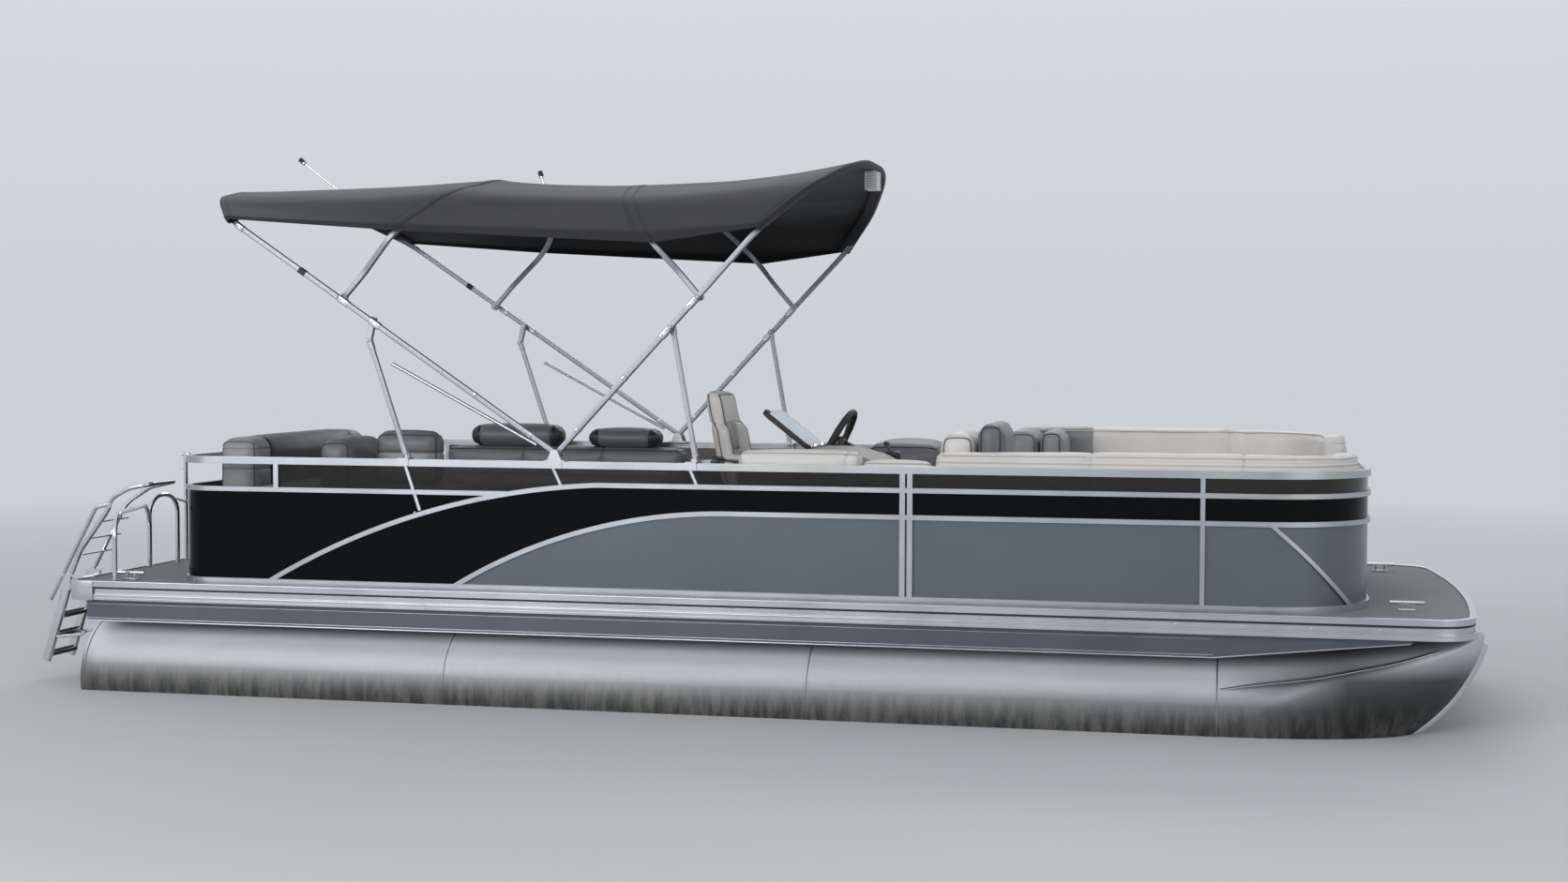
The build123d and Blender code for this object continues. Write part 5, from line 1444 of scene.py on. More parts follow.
rows = []
labels = []
spans = ((0, 18), (1, 14), (2, 18))
for span, n in spans:
    a = outer[span]
    b = outer[span + 1]
    length = (b[M // 2] - a[M // 2]).length
    marks = [0.0, 0.010, 0.018, 0.023, 0.027, 0.033, 0.040]
    ts = set(m / length for m in marks) | set(1 - m / length for m in marks) | set(k / n for k in range(1,
        n))
    ts = sorted(ts)
    clean = [0.0]
    for t in ts:
        if t - clean[-1] > 0.0035 and t < 0.9999:
            clean.append(t)
    if span == 2:
        clean.append(1.0)
    for t in clean:
        row = []
        for j in range(M):
            row.append(a[j].lerp(b[j], t))
        rows.append(row)
        labels.append((span, t, length))

# wraps round the end bows
def wrap_rows(edge, beyond, centre, turns):
    out = []
    for turn, reach in turns:
        row = []
        for j in range(M):
            k0 = max(j - 1, 0)
            k1 = min(j + 1, M - 1)
            tangent = (edge[k1] - edge[k0]).normalized()
            v = edge[j] - centre[j]
            v = v - tangent * v.dot(tangent)
            away = edge[j] - beyond[j]
            away = (away - tangent * away.dot(tangent)).normalized()
            size = v.length
            u = v.normalized()
            side_way = (away - u * away.dot(u)).normalized()
            a = math.radians(turn)
            r = size + (reach - size) * min(1.0, turn / 60.0)
            row.append(edge[j] - v + (u * math.cos(a) + side_way * math.sin(a)) * r)
        out.append(row)
    return out


turns = ((14, 0.0205), (32, 0.0195), (54, 0.019), (80, 0.019), (106, 0.019), (132, 0.019), (158, 0.0185),
    (184, 0.018))
aft_wrap = wrap_rows(rows[0], rows[1], inner[0], turns)
fore_wrap = wrap_rows(rows[-1], rows[-2], inner[3], turns)
base_count = len(rows)
aft_tail = []
for depth in (0.03, 0.052):
    aft_tail.append([
        aft_wrap[-1][j] + (rows[1][j] - rows[0][j]).normalized() * depth
        + (rows[0][j] - inner[0][j]).normalized() * depth * 0.35
        for j in range(M)
    ])
fore_tail = []
for depth in (0.03, 0.052):
    fore_tail.append([
        fore_wrap[-1][j] + (rows[-2][j] - rows[-1][j]).normalized() * depth
        + (rows[-1][j] - inner[3][j]).normalized() * depth * 0.35
        for j in range(M)
    ])
grid = list(reversed(aft_tail)) + list(reversed(aft_wrap)) + rows + fore_wrap + fore_tail
first = len(aft_wrap) + len(aft_tail)


def grid_normals(g):
    out = []
    n = len(g)
    for i in range(n):
        row = []
        for j in range(M):
            a = g[max(i - 1, 0)][j]
            b = g[min(i + 1, n - 1)][j]
            c = g[i][max(j - 1, 0)]
            d = g[i][min(j + 1, M - 1)]
            k = (b - a).cross(d - c)
            row.append(k.normalized() if k.length > 1e-12 else Vector((0, 0, 1)))
        out.append(row)
    middle = out[first + 5][M // 2]
    if middle.z < 0:
        out = [[-v for v in row] for row in out]
    return out


normals = grid_normals(grid)
for i in range(len(grid)):
    inside = first <= i < first + base_count
    for j in range(M):
        move = 0.0
        edge = min(across[j], width - across[j])
        hem = 1.0 if edge < 0.026 else 0.0
        if inside:
            span, t, length = labels[i - first]
            q = grid[i][j]
            bell = 4 * t * (1 - t)
            free = min(1.0, edge / 0.10)
            fold = noise.noise(Vector((q.x * 1.1, across[j] * 5.2, 3.0 + span)))
            small = noise.noise(Vector((q.x * 4.0, across[j] * 16.0, 9.0)))
            move += free * math.sqrt(max(bell, 0.0)) * (0.0085 * fold + 0.0022 * small)
            move -= sag_at(span, t, j)
            near = min(t, 1 - t) * length
            at_inner = (span == 0 and t > 0.5) or span == 1 or (span == 2 and t < 0.5)
            if at_inner and near < 0.05:
                wide = (span == 0 or (span == 1 and t < 0.5))
                band = 0.0034 if wide else 0.0018
                move += band * min(1.0, max(0.0, (0.030 - near) / 0.006))
                move -= 0.0018 * math.exp(-((near - 0.0245) / 0.0028) ** 2)
                move -= 0.0014 * math.exp(-((near - 0.0345) / 0.003) ** 2)
                pull = noise.noise(Vector((across[j] * 26.0, span * 3.0, 1.0)))
                move += 0.0016 * pull * math.exp(-near / 0.02)
            if not at_inner and near < 0.045:
                move -= 0.0016 * math.exp(-((near - 0.023) / 0.003) ** 2)
                move -= 0.0016 * math.exp(-((near - 0.034) / 0.003) ** 2)
        move += hem * 0.0012
        grid[i][j] = grid[i][j] + normals[i][j] * move

normals = grid_normals(grid)
verts = []
faces = []
for row in grid:
    verts.extend(row)
total = len(verts)
for i, row in enumerate(grid):
    for j in range(M):
        verts.append(row[j] - normals[i][j] * 0.0026)
n_rows = len(grid)
for i in range(n_rows - 1):
    for j in range(M - 1):
        a = i * M + j
        faces.append((a, a + 1, a + M + 1, a + M))
        faces.append((total + a, total + a + M, total + a + M + 1, total + a + 1))
for j in range(M - 1):
    a = j
    faces.append((a, total + a, total + a + 1, a + 1))
    a = (n_rows - 1) * M + j
    faces.append((a, a + 1, total + a + 1, total + a))
for i in range(n_rows - 1):
    a = i * M
    faces.append((a, a + M, total + a + M, total + a))
    a = i * M + M - 1
    faces.append((a, total + a, total + a + M, a + M))
for i in range(n_rows - 1):
    for j in range(M - 1):
        a, b, c, d = grid[i][j], grid[i][j + 1], grid[i + 1][j + 1], grid[i + 1][j]
cloth = mesh_piece("canopy_cloth", verts, faces, "canvas", None)
# The inner face takes the darker underside colour, which is painted shade.
cloth.data.materials.append(MAT["canvas_under"])
for p in cloth.data.polygons:
    if min(p.vertices) >= total:
        p.material_index = 1


# stitching: fine raised thread lines beside the seams, hem and bindings
stitch_parts = []
hem_cols = (
    [j for j in range(M) if across[j] > 0.024][:1]
    + [j for j in range(M) if width - across[j] > 0.024][-1:]
)
for j in hem_cols:
    stitch_parts.append(cord_parts([grid[i][j] + normals[i][j] * 0.0004 for i in range(first,
        first + base_count)], 0.0011, count=5))
for i in range(first, first + base_count):
    span, t, length = labels[i - first]
    near = min(t, 1 - t) * length
    if abs(near - 0.0235) < 0.0022 or abs(near - 0.0335) < 0.0022:
        stitch_parts.append(cord_parts([grid[i][j] + normals[i][j] * 0.0004 for j in range(M)], 0.0010,
            count=5))
stitch = join_parts("canopy_stitching", stitch_parts, "canvas_edge", None)
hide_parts("canopy")
for piece in (cloth, stitch):
    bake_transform(piece)

# Canopy frame

TUBE = 28.0
STRUT = 24.0
LUG_R = 19.0
LUG_HALF = 16.0


def fluted(size, r, groove=0.9, wide=5.0):
    """Square extrusion with rounded corners and a shallow channel in each face, in metres."""
    h = size / 2
    face = [(-wide, 0.0), (1.5 - wide, groove), (wide - 1.5, groove), (wide, 0.0)]
    out = []
    for k in range(4):
        a = math.pi / 2 * k
        c, s = round(math.cos(a)), round(math.sin(a))
        pts = [(h - d, t) for t, d in face]
        for j in range(4):
            b = math.pi / 2 * j / 3
            pts.append((h - r + r * math.cos(b), h - r + r * math.sin(b)))
        out += [((x * c - y * s) / 1000, (x * s + y * c) / 1000) for x, y in pts]
    return out


def bow_points(foot, angle, profile, radii, counts=(5, 9)):
    """The whole bow's middle line from its starboard foot to its port foot."""
    ca = math.cos(math.radians(angle))
    sa = math.sin(math.radians(angle))
    half = [Vector((-y, u)) for u, y in profile]
    route = half + [Vector((-q.x, q.y)) for q in reversed(half)]
    pts = rounded_route(route, list(radii) + list(reversed(radii)), counts)
    return [P(foot[0] + q.y * ca, q.x, foot[1] + q.y * sa) for q in pts]


def lug(place, y, r=LUG_R, half=LUG_HALF):
    return lathe_parts([(0.0, -half / 1000), ((r - 2) / 1000, -half / 1000), (r / 1000, (2 - half) / 1000),
                        (r / 1000, (half - 2) / 1000), ((r - 2) / 1000, half / 1000), (0.0, half / 1000)],
                       P(place[0], y, place[1]), Vector((0, 1, 0)), 28)


def pin(place, side, outer, inner):
    """Bolt through a hinge, with a head at each end."""
    n = (outer - inner) / 1000
    return lathe_parts([(0.0, 0.0), (0.0075, 0.0), (0.009, 0.0015), (0.009, 0.0055), (0.005, 0.0065),
                        (0.005, n - 0.0065), (0.009, n - 0.0055), (0.009, n - 0.0015), (0.0075, n),
                        (0.0, n)],
                       P(place[0], side * outer, place[1]), Vector((0, -side, 0)), 12)


strut_pin = (pivot[0] + 875 * math.cos(math.radians(47.0)), pivot[1] + 875 * math.sin(math.radians(47.0)))
aft_pin = (pivot[0] + 1210 * math.cos(math.radians(146.1)), pivot[1] + 1210 * math.sin(math.radians(146.1)))
bow_rows = (
    ("aft_main", "hull", pivot, 146.1, ((0.0, 1200.0), (2160.2, 1200.0), (2370.7, 930.0), (2506.0, 420.0)),
     (280, 600, 1300), ((aft_hinge, 1222.0),)),
    ("fore_main", "fore_bow", pivot, 47.0,
     ((0.0, 1160.0), (1162.5, 1160.0), (1550.0, 1180.0), (1819.9, 955.8), (2087.0, 424.8)),
     (900, 280, 600, 1300), ((fore_hinge, 1182.0), (strut_pin, 1182.0))),
    ("aft_inner", "aft_inner", aft_hinge, 48.1,
     ((0.0, 1120.0), (173.2, 1120.0), (476.3, 1180.0), (727.4, 908.6), (866.0, 413.0)),
     (300, 200, 450, 900), ()),
    ("fore_inner", "fore_inner", fore_hinge, 130.7,
     ((0.0, 1120.0), (160.8, 1120.0), (402.0, 1180.0), (659.3, 908.6), (804.0, 413.0)),
     (300, 180, 450, 900), ()),
)
for name, body, foot, angle, profile, radii, pins in bow_rows:
    a = math.radians(angle)
    parts = [sweep(bow_points(foot, angle, profile, radii), fluted(TUBE, 6.0),
        up=Vector((math.sin(a), 0, -math.cos(a))))]
    for side in (-1, 1):
        parts.append(lug(foot, side * profile[0][1]))
        for place, outer_y in pins:
            parts.append(pin(place, side, outer_y, 1093.0))
    tube = join_parts(name + "_tube", parts, "bow", body, sharp=28)
    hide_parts(name + "_bow")

# struts: the aft ones go down inside the fence to the arched rail
parts = []
for side in (-1, 1):
    y = side * 1154.0
    foot = P(1980.0, y, 400.0)
    top = P(1682.0, y, 1292.0)
    way = (top - foot).normalized()
    boss = foot + way * ((702.0 - 400.0) / 1000 / way.z)
    up = Vector((0, side, 0))
    parts.append(sweep([foot, boss], ring(0.012, 16)))
    parts.append(sweep([boss, top - way * 0.02], fluted(STRUT, 4.0), up=up))
    parts.append(sweep([top - way * 0.05, top - way * 0.048, top + way * 0.004, top + way * 0.006],
        rounded_rect(0.029, 0.029, 0.005), up=up))
    parts.append(sweep([boss - way * 0.004, boss - way * 0.002, boss + way * 0.05, boss + way * 0.052],
        rounded_rect(0.029, 0.029, 0.005), up=up))
    joint = P(aft_pin[0], y, aft_pin[1])
    tilt_way = (joint - top).normalized()
    for off in (-0.0105, 0.0105):
        shift_by = Vector((0, off, 0))
        parts.append(sweep([top - tilt_way * 0.016 + shift_by, joint + tilt_way * 0.016 + shift_by],
                           rounded_rect(0.030, 0.006, 0.002), up=up))
    parts.append(pin((1682.0, 1288.0), side, 1175.0, 1134.0))
    parts.append(lathe_parts([(0.0, 0.0), (0.013, 0.0), (0.013, 0.052), (0.0, 0.052)],
        P(aft_pin[0], side * 1136.0, aft_pin[1]), Vector((0, side, 0)), 20))
strut = join_parts("aft_strut_tubes", parts, "bow", "hull", sharp=28)
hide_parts("aft_struts")

parts = []
for side in (-1, 1):
    y = side * 1120.0
    foot = P(3424.0, y, 708.0)
    top = P(strut_pin[0], y, strut_pin[1])
    way = (top - foot).normalized()
    up = Vector((0, side, 0))
    parts.append(sweep([foot + way * 0.006, top - way * 0.012], fluted(STRUT, 4.0), up=up))
    parts.append(lathe_parts([(0.0, -0.016), (0.0135, -0.016), (0.015, -0.0145), (0.015, 0.0145),
        (0.0135, 0.016), (0.0, 0.016)], foot, Vector((0, 1, 0)), 24))
    parts.append(lug(strut_pin, y, 15.0))
    for d in (0.012, 0.62):
        parts.append(sweep([foot + way * d, foot + way * (d + 0.002), foot + way * (d + 0.046),
            foot + way * (d + 0.048)],
                           rounded_rect(0.029, 0.029, 0.005), up=up))
strut = join_parts("fore_strut_tubes", parts, "bow", "fore_strut_pair", sharp=28)
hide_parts("fore_struts")

# black sleeve on the aft bow
parts = []
for side in (-1, 1):
    run = Vector((math.cos(math.radians(146.1)), 0, math.sin(math.radians(146.1))))
    mid = P(pivot[0], side * 1200, pivot[1]) + run * 1.66
    parts.append(sweep([mid - run * 0.021, mid - run * 0.020, mid + run * 0.020, mid + run * 0.021],
                       rounded_rect(0.0315, 0.0315, 0.006), up=Vector((0, 1, 0))))
join_parts("bow_sleeves", parts, "rubber", "hull", sharp=40)

# short braces in the fence's upper band, under the canopy's brackets
parts = []
for side in (-1, 1):
    y = side * 1205.0
    for (x0, z0), (x1, z1) in (((1899.8, 640.0), (1940.9, 516.0)), ((1948.9, 494.0), (1977.0, 410.0)),
                               ((2700.0, 640.0), (2742.0, 548.0)), ((3420.0, 640.0), (3452.0, 566.0))):
        parts.append(sweep([P(x0, y, z0), P(x1, y, z1)], ring(0.0105, 14)))
join_parts("fence_braces", parts, "trim", "hull", sharp=40)

# Helm

def torus_parts(centre, axis, major, minor, count=56, around=10, grip=0.0):
    axis = axis.normalized()
    ref = Vector((0, 1, 0))
    u = (ref - axis * ref.dot(axis)).normalized()
    v = axis.cross(u)
    verts = []
    faces = []
    for k in range(count):
        a = 2 * math.pi * k / count
        way = u * math.cos(a) + v * math.sin(a)
        r = minor * (1 + grip * (0.5 + 0.5 * math.cos(a * 14)))
        for j in range(around):
            b = 2 * math.pi * j / around
            verts.append(centre + way * (major + r * math.cos(b)) + axis * (r * math.sin(b)))
    for k in range(count):
        for j in range(around):
            faces.append((k * around + j, ((k + 1) % count) * around + j,
                ((k + 1) % count) * around + (j + 1) % around, k * around + (j + 1) % around))
    return verts, faces


tilt = math.radians(28.0)
wheel_at = P(3985, -250, 745)
wheel_axis = Vector((math.cos(tilt), 0, -math.sin(tilt)))
wheel_up = Vector((math.sin(tilt), 0, math.cos(tilt)))
wheel_side = Vector((0, 1, 0))
rim = join_parts("wheel_rim", [torus_parts(wheel_at, wheel_axis, 0.184, 0.018, grip=0.05)], "rubber",
    "wheel")
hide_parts("steering_wheel")
parts = []
for a in (90.0, 210.0, 330.0):
    way = wheel_side * math.cos(math.radians(a)) + wheel_up * math.sin(math.radians(a))
    pts = [wheel_at + way * (r / 1000.0) + wheel_axis * (d / 1000.0) for r,
        d in ((28, 22), (60, 17), (100, 9), (140, 3), (178, 0))]
    parts.append(sweep(pts, rounded_rect(0.034, 0.010, 0.004), up=wheel_axis))
parts.append(lathe_parts([(0.0, -0.014), (0.022, -0.013), (0.036, -0.008), (0.044, 0.002), (0.045, 0.014),
    (0.040, 0.030), (0.036, 0.040)],
                         wheel_at, wheel_axis, 32))
join_parts("wheel_spokes", parts, "black", "wheel", sharp=50)
join_parts("wheel_centre_cap",
    [lathe_parts([(0.0, -0.0175), (0.014, -0.017), (0.023, -0.014), (0.024, -0.010)], wheel_at, wheel_axis,
    28)],
           "dial", "wheel")

# ribbed bellows round the column
bellows = []
for k in range(12):
    d = 0.047 + 0.016 * k
    bellows.extend([(0.0365, d), (0.0365 - 0.0075, d + 0.008)])
bellows = [(0.012, 0.046)] + bellows + [(0.037, 0.242), (0.037, 0.285)]
column = join_parts("column_bellows", [lathe_parts(bellows, wheel_at, wheel_axis, 28)], "rubber", sharp=60)
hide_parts("steering_column")
join_parts("column_collar",
    [lathe_parts([(0.037, 0.228), (0.050, 0.232), (0.052, 0.246), (0.037, 0.252)], wheel_at, wheel_axis,
    28)], "black")

# console: block beside the helm, low dash under the wheel, locker along the fence
def prism_parts(profile, y0, y1, r):
    """Side view profile of (x, z) carried from y0 to y1, with rounded edges."""
    bm = bmesh.new()
    near = [bm.verts.new(P(x, y0, z)) for x, z in profile]
    far = [bm.verts.new(P(x, y1, z)) for x, z in profile]
    bm.faces.new(near)
    bm.faces.new(list(reversed(far)))
    n = len(profile)
    for k in range(n):
        bm.faces.new((near[k], far[k], far[(k + 1) % n], near[(k + 1) % n]))
    bmesh.ops.recalc_face_normals(bm, faces=bm.faces)
    bmesh.ops.bevel(bm, geom=list(bm.edges), offset=r, segments=3, profile=0.5, affect="EDGES")
    bm.verts.index_update()
    out = [v.co.copy() for v in bm.verts], [tuple(v.index for v in f.verts) for f in bm.faces]
    bm.free()
    return out


parts = [
    prism_parts([(3930, 0.5), (3930, 742), (4150, 742), (4300, 700), (4420, 640), (4420, 0.5)], -1040, -500,
        0.018),
    prism_parts([(4110, 0.5), (4110, 470), (4165, 655), (4240, 650), (4420, 600), (4420, 0.5)], -505, 20,
        0.016),
    prism_parts([(3650, 0.5), (3650, 560), (4630, 560), (4630, 0.5)], -1165, -1060, 0.010),
    prism_parts([(3940, 60), (3940, 540), (4410, 540), (4410, 60)], -1064, -1036, 0.004),
]
console_body = join_parts("console_body", parts, "base", sharp=50)
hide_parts("console")

# instrument panel on the slope of the dash
slope_a = P(4110, -500, 470)
slope_b = P(4165, -500, 655)
up_slope = (slope_b - slope_a).normalized()
face_out = Vector((-up_slope.z, 0, up_slope.x))


def on_slope(y, share, lift):
    p = slope_a.lerp(slope_b, share)
    return Vector((p.x, y / 1000.0, p.z)) + face_out * lift


corners = []
for y, s, a0 in ((-20, 0.90, 0), (-470, 0.90, 90), (-470, 0.12, 180), (-20, 0.12, 270)):
    for k in range(5):
        a = math.radians(a0 + 90 * k / 4)
        corners.append(on_slope(y - math.copysign(14, y + 245) + 14 * math.cos(a),
            s + math.sin(a) * 0.07 - (0.07 if s > 0.5 else -0.07), 0.0))
front = [c + face_out * 0.006 for c in corners]
n = len(corners)
verts = corners + front
faces = [tuple(range(n, 2 * n))] + [(k, (k + 1) % n, n + (k + 1) % n, n + k) for k in range(n)]
join_parts("instrument_panel", [(verts, faces)], "black", sharp=35)
parts = []
glass = []
for y, s, r in ((-60, 0.55, 0.036), (-150, 0.62, 0.040), (-350, 0.62, 0.040), (-435, 0.55, 0.036)):
    o = on_slope(y, s, 0.006)
    parts.append(lathe_parts([(r * 0.86, 0.001), (r * 0.9, 0.006), (r, 0.0065), (r * 1.02, 0.004),
        (r * 1.02, 0.0)], o, face_out, 32, caps=False))
    glass.append(lathe_parts([(0.0, 0.0025), (r * 0.86, 0.0025), (r * 0.87, 0.0005)], o, face_out, 32))
join_parts("gauge_bezels", parts, "steel", sharp=40)
join_parts("gauge_faces", glass, "dial", sharp=40)
parts = []
for y, s, r in ((-60, 0.55, 0.036), (-150, 0.62, 0.040), (-350, 0.62, 0.040), (-435, 0.55, 0.036)):
    o = on_slope(y, s, 0.0092)
    for k in range(9):
        a = math.radians(225 - 270 * k / 8)
        way = up_slope * math.sin(a) + wheel_side * math.cos(a)
        parts.append(sweep([o + way * r * 0.62, o + way * r * 0.80], rounded_rect(0.0018, 0.0006, 0.0002),
            up=face_out))
    way = up_slope * math.sin(math.radians(160)) + wheel_side * math.cos(math.radians(160))
    parts.append(sweep([o - way * r * 0.1, o + way * r * 0.62], rounded_rect(0.0016, 0.0008, 0.0002),
        up=face_out))
join_parts("gauge_marks", parts, "mark")
parts = []
for k in range(5):
    o = on_slope(-190 - 26 * k - 8, 0.30, 0.008)
    turn = Matrix.Rotation(math.atan2(up_slope.x, up_slope.z), 3, "Y")
    parts.append(box_parts(o - Vector((0.004, 0.009, 0.014)), o + Vector((0.004, 0.009, 0.014)), 0.0025,
        turn))
join_parts("rocker_switches", parts, "rubber", sharp=40)

# control box with its lever laid low
parts = [box_parts(P(4210, -60, 618), P(4295, 0, 692), 0.012)]
parts.append(lathe_parts([(0.0, 0.0), (0.022, 0.0), (0.024, 0.004), (0.024, 0.012), (0.018, 0.016),
    (0.0, 0.016)], P(4256, -60, 672), Vector((0, -1, 0)), 24))
lever = catmull([P(4256, -70, 672), P(4246, -70, 694), P(4232, -69, 716), P(4222, -66, 730)], 5)
parts.append(sweep(lever, rounded_rect(0.012, 0.018, 0.004), up=Vector((0, 1, 0))))
parts.append(sweep([P(4220, -70, 733), P(4220, -56, 734), P(4220, -34, 735), P(4220, -14, 734),
    P(4220, -6, 733)], ring(0.013, 12)))
box = join_parts("control_box", parts, "black", sharp=45)
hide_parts("throttle")

# frame of the screen
foot = P(3975, 0, 746)
head = P(3745, 0, 925)
lean = (head - foot).normalized()
out_of = Vector((lean.z, 0, -lean.x))
tall = (head - foot).length
loop = []
for y, s, a0 in ((-0.540, tall, 0), (-0.970, tall, 90), (-0.970, 0.0, 180), (-0.540, 0.0, 270)):
    cy = y - 0.04 if y > -0.7 else y + 0.04
    cs = s - 0.04 if s > 0.1 else s + 0.04
    for k in range(7):
        a = math.radians(a0 + 90 * k / 6)
        q = foot + lean * (cs + 0.038 * math.sin(a))
        loop.append(Vector((q.x, cy + 0.038 * math.cos(a), q.z)))
join_parts("screen_frame", [sweep(loop, rounded_rect(0.010, 0.011, 0.003), closed=True, up=out_of)], "trim",
    sharp=45)
near_edge = [q for q in loop if q.y < -0.93]
join_parts("screen_near_frame",
    [sweep([near_edge[0] + Vector((0, 0.04, 0))] + near_edge + [near_edge[-1] + Vector((0, 0.04, 0))],
                                       rounded_rect(0.024, 0.026, 0.006), up=out_of)], "rubber", sharp=45)
parts = []
for y in (-930, -755, -580):
    parts.append(box_parts(P(3955, y - 18, 742), P(3992, y + 18, 764), 0.005))
    parts.append(bolt_parts(P(3966, y, 764), Vector((0, 0, 1)), 0.005, 0.003))
join_parts("screen_brackets", parts, "steel", sharp=40)

# arm pads of the chair
for n, side in (("starboard", -1), ("port", 1)):
    y = -250 + side * 229
    arm = Pad(P(3420, y - 26, 655), P(3640, y + 26, 684), 0.013, (0.003, 0.003, 0.004), seed=30.0 + side,
        seams=())
    a0 = P(3380, 0, 665)

    def tip(q, a0=a0):
        x = q.x - a0.x
        return Vector((q.x, q.y, q.z - 0.085 * x + 0.004))

    arm.warp = tip
    cushion(f"chair_arm_{n}", arm, "light", body="chair", step=0.02)
parts = [box_parts(P(3345, -250 - 190, 385), P(3740, -250 + 190, 391), 0.003)]
for side in (-1, 1):
    y = -250 + side * 221
    parts.append(lathe_parts([(0.0, 0.0), (0.024, 0.0), (0.026, 0.003), (0.026, 0.010), (0.018, 0.013),
        (0.0, 0.013)], P(3365, y, 640), Vector((0, side, 0)), 24))
join_parts("chair_brackets", parts, "black", "chair", sharp=45)


# Canopy fittings

def clamp_at(x, z, angle, y, parts, bolts, size=34.0, length=58.0):
    """Sleeve clamp round a bow tube, with two bolts."""
    run = Vector((math.cos(math.radians(angle)), 0, math.sin(math.radians(angle))))
    mid = P(x, y, z)
    parts.append(sweep([mid - run * length / 2000, mid - run * length / 2200, mid + run * length / 2200,
        mid + run * length / 2000],
                       rounded_rect(size / 1000, size / 1000, 0.006), up=Vector((0, 1, 0))))
    out = 1 if y > 0 else -1
    for d in (-0.32, 0.32):
        bolts.append(bolt_parts(mid + run * length * d / 1000 + Vector((0, out * size / 2000, 0)),
            Vector((0, out, 0)), 0.0055, 0.004))


hull_parts, hull_bolts, bow_parts, bow_bolts = [], [], [], []
for side in (-1, 1):
    clamp_at(aft_hinge[0] + 34, aft_hinge[1] - 23, 146.1, side * 1200, hull_parts, hull_bolts)
    clamp_at(aft_pin[0] + 30, aft_pin[1] - 20, 146.1, side * 1200, hull_parts, hull_bolts)
    clamp_at(pivot[0] + 2080 * math.cos(math.radians(146.1)),
        pivot[1] + 2080 * math.sin(math.radians(146.1)), 146.1, side * 1200, hull_parts, hull_bolts, 31, 40)
    clamp_at(fore_hinge[0] - 28, fore_hinge[1] - 30, 47.0, side * 1160, bow_parts, bow_bolts)
    clamp_at(strut_pin[0] - 28, strut_pin[1] - 30, 47.0, side * 1160, bow_parts, bow_bolts)
    for d in (160, 520):
        clamp_at(pivot[0] + d * math.cos(math.radians(47.0)), pivot[1] + d * math.sin(math.radians(47.0)),
            47.0, side * 1160, bow_parts, bow_bolts, 31, 18)
        clamp_at(pivot[0] + d * math.cos(math.radians(146.1)), pivot[1] + d * math.sin(math.radians(146.1)),
            146.1, side * 1200, hull_parts, hull_bolts, 31, 18)
    # bolts of the saddles on the rail
    for x in (2710.0, 3424.0, 1980.0):
        for dx in (-26, 26):
            hull_bolts.append(bolt_parts(P(x + dx, side * 1215.5, 655 if x != 1980.0 else 400),
                Vector((0, side, 0)), 0.006, 0.004))
join_parts("frame_clamps", hull_parts, "grey_metal", "hull", sharp=40)
join_parts("frame_clamp_bolts", hull_bolts, "steel", "hull")
join_parts("bow_clamps", bow_parts, "grey_metal", "fore_bow", sharp=40)
join_parts("bow_clamp_bolts", bow_bolts, "steel", "fore_bow")

# caps on the two rods over the canopy
def cap_at(name, foot, tip, y, body):
    a = P(foot[0], y, foot[1])
    b = P(tip[0], y, tip[1])
    way = (b - a).normalized()
    join_parts(name, [lathe_parts([(0.0, -0.043), (0.009, -0.043), (0.012, -0.034), (0.0142, -0.030),
        (0.0145, -0.002), (0.012, 0.001), (0.0, 0.0015)],
                                  b, way, 20)], "rubber", body)


cap_at("aft_rod_cap", (950, 2146), (675, 2362), 150, "hull")
cap_at("fore_rod_cap", (2111, 2179), (2076, 2291), 400, "aft_inner")

# louvred face of the light under the fore bow
parts = []
for k in range(6):
    z = 2132 + 14.5 * k
    for x in (4096.0, 4162.0):
        parts.append(box_parts(P(x - 2, -50, z), P(x + 2, 50, z + 6), 0.0015))
    for y in (-60.0, 60.0):
        parts.append(box_parts(P(4104, y - 2, z), P(4154, y + 2, z + 6), 0.0015))
join_parts("light_louvres", parts, "grey_metal", "fore_bow", sharp=40)


# Ladder, gates and stern

parts = []
knee = Vector((-132.0, -40.0))
toe = Vector((-268.0, -466.0))
for share in (0.42, 0.67, 0.92):
    q = knee.lerp(toe, share)
    for k in range(5):
        y = -1034 + 198 * k / 4
        parts.append(lathe_parts([(0.0162, -0.021), (0.0178, -0.017), (0.0178, 0.017), (0.0162, 0.021)],
            P(q.x, y, q.y), Vector((0, 1, 0)), 14, caps=False))
join_parts("rung_grips", parts, "rubber", "ladder", sharp=50)

# latches on the gates' free edges and pulls
parts = [box_parts(P(6700, -300, 600), P(6742, -262, 640), 0.006),
         box_parts(P(6744, -296, 612), P(6752, -240, 628), 0.004)]
join_parts("bow_latch", parts, "steel", "bow_gate", sharp=40)
parts = [box_parts(P(578, 482, 600), P(622, 520, 640), 0.006),
         box_parts(P(568, 486, 612), P(576, 542, 628), 0.004)]
join_parts("stern_latch", parts, "steel", "stern_gate", sharp=40)
parts = [box_parts(P(6704, -372, 596), P(6736, -356, 644), 0.004),
    box_parts(P(584, 420, 596), P(616, 424, 644), 0.0015)]
join_parts("latch_keepers", parts, "steel", sharp=40)

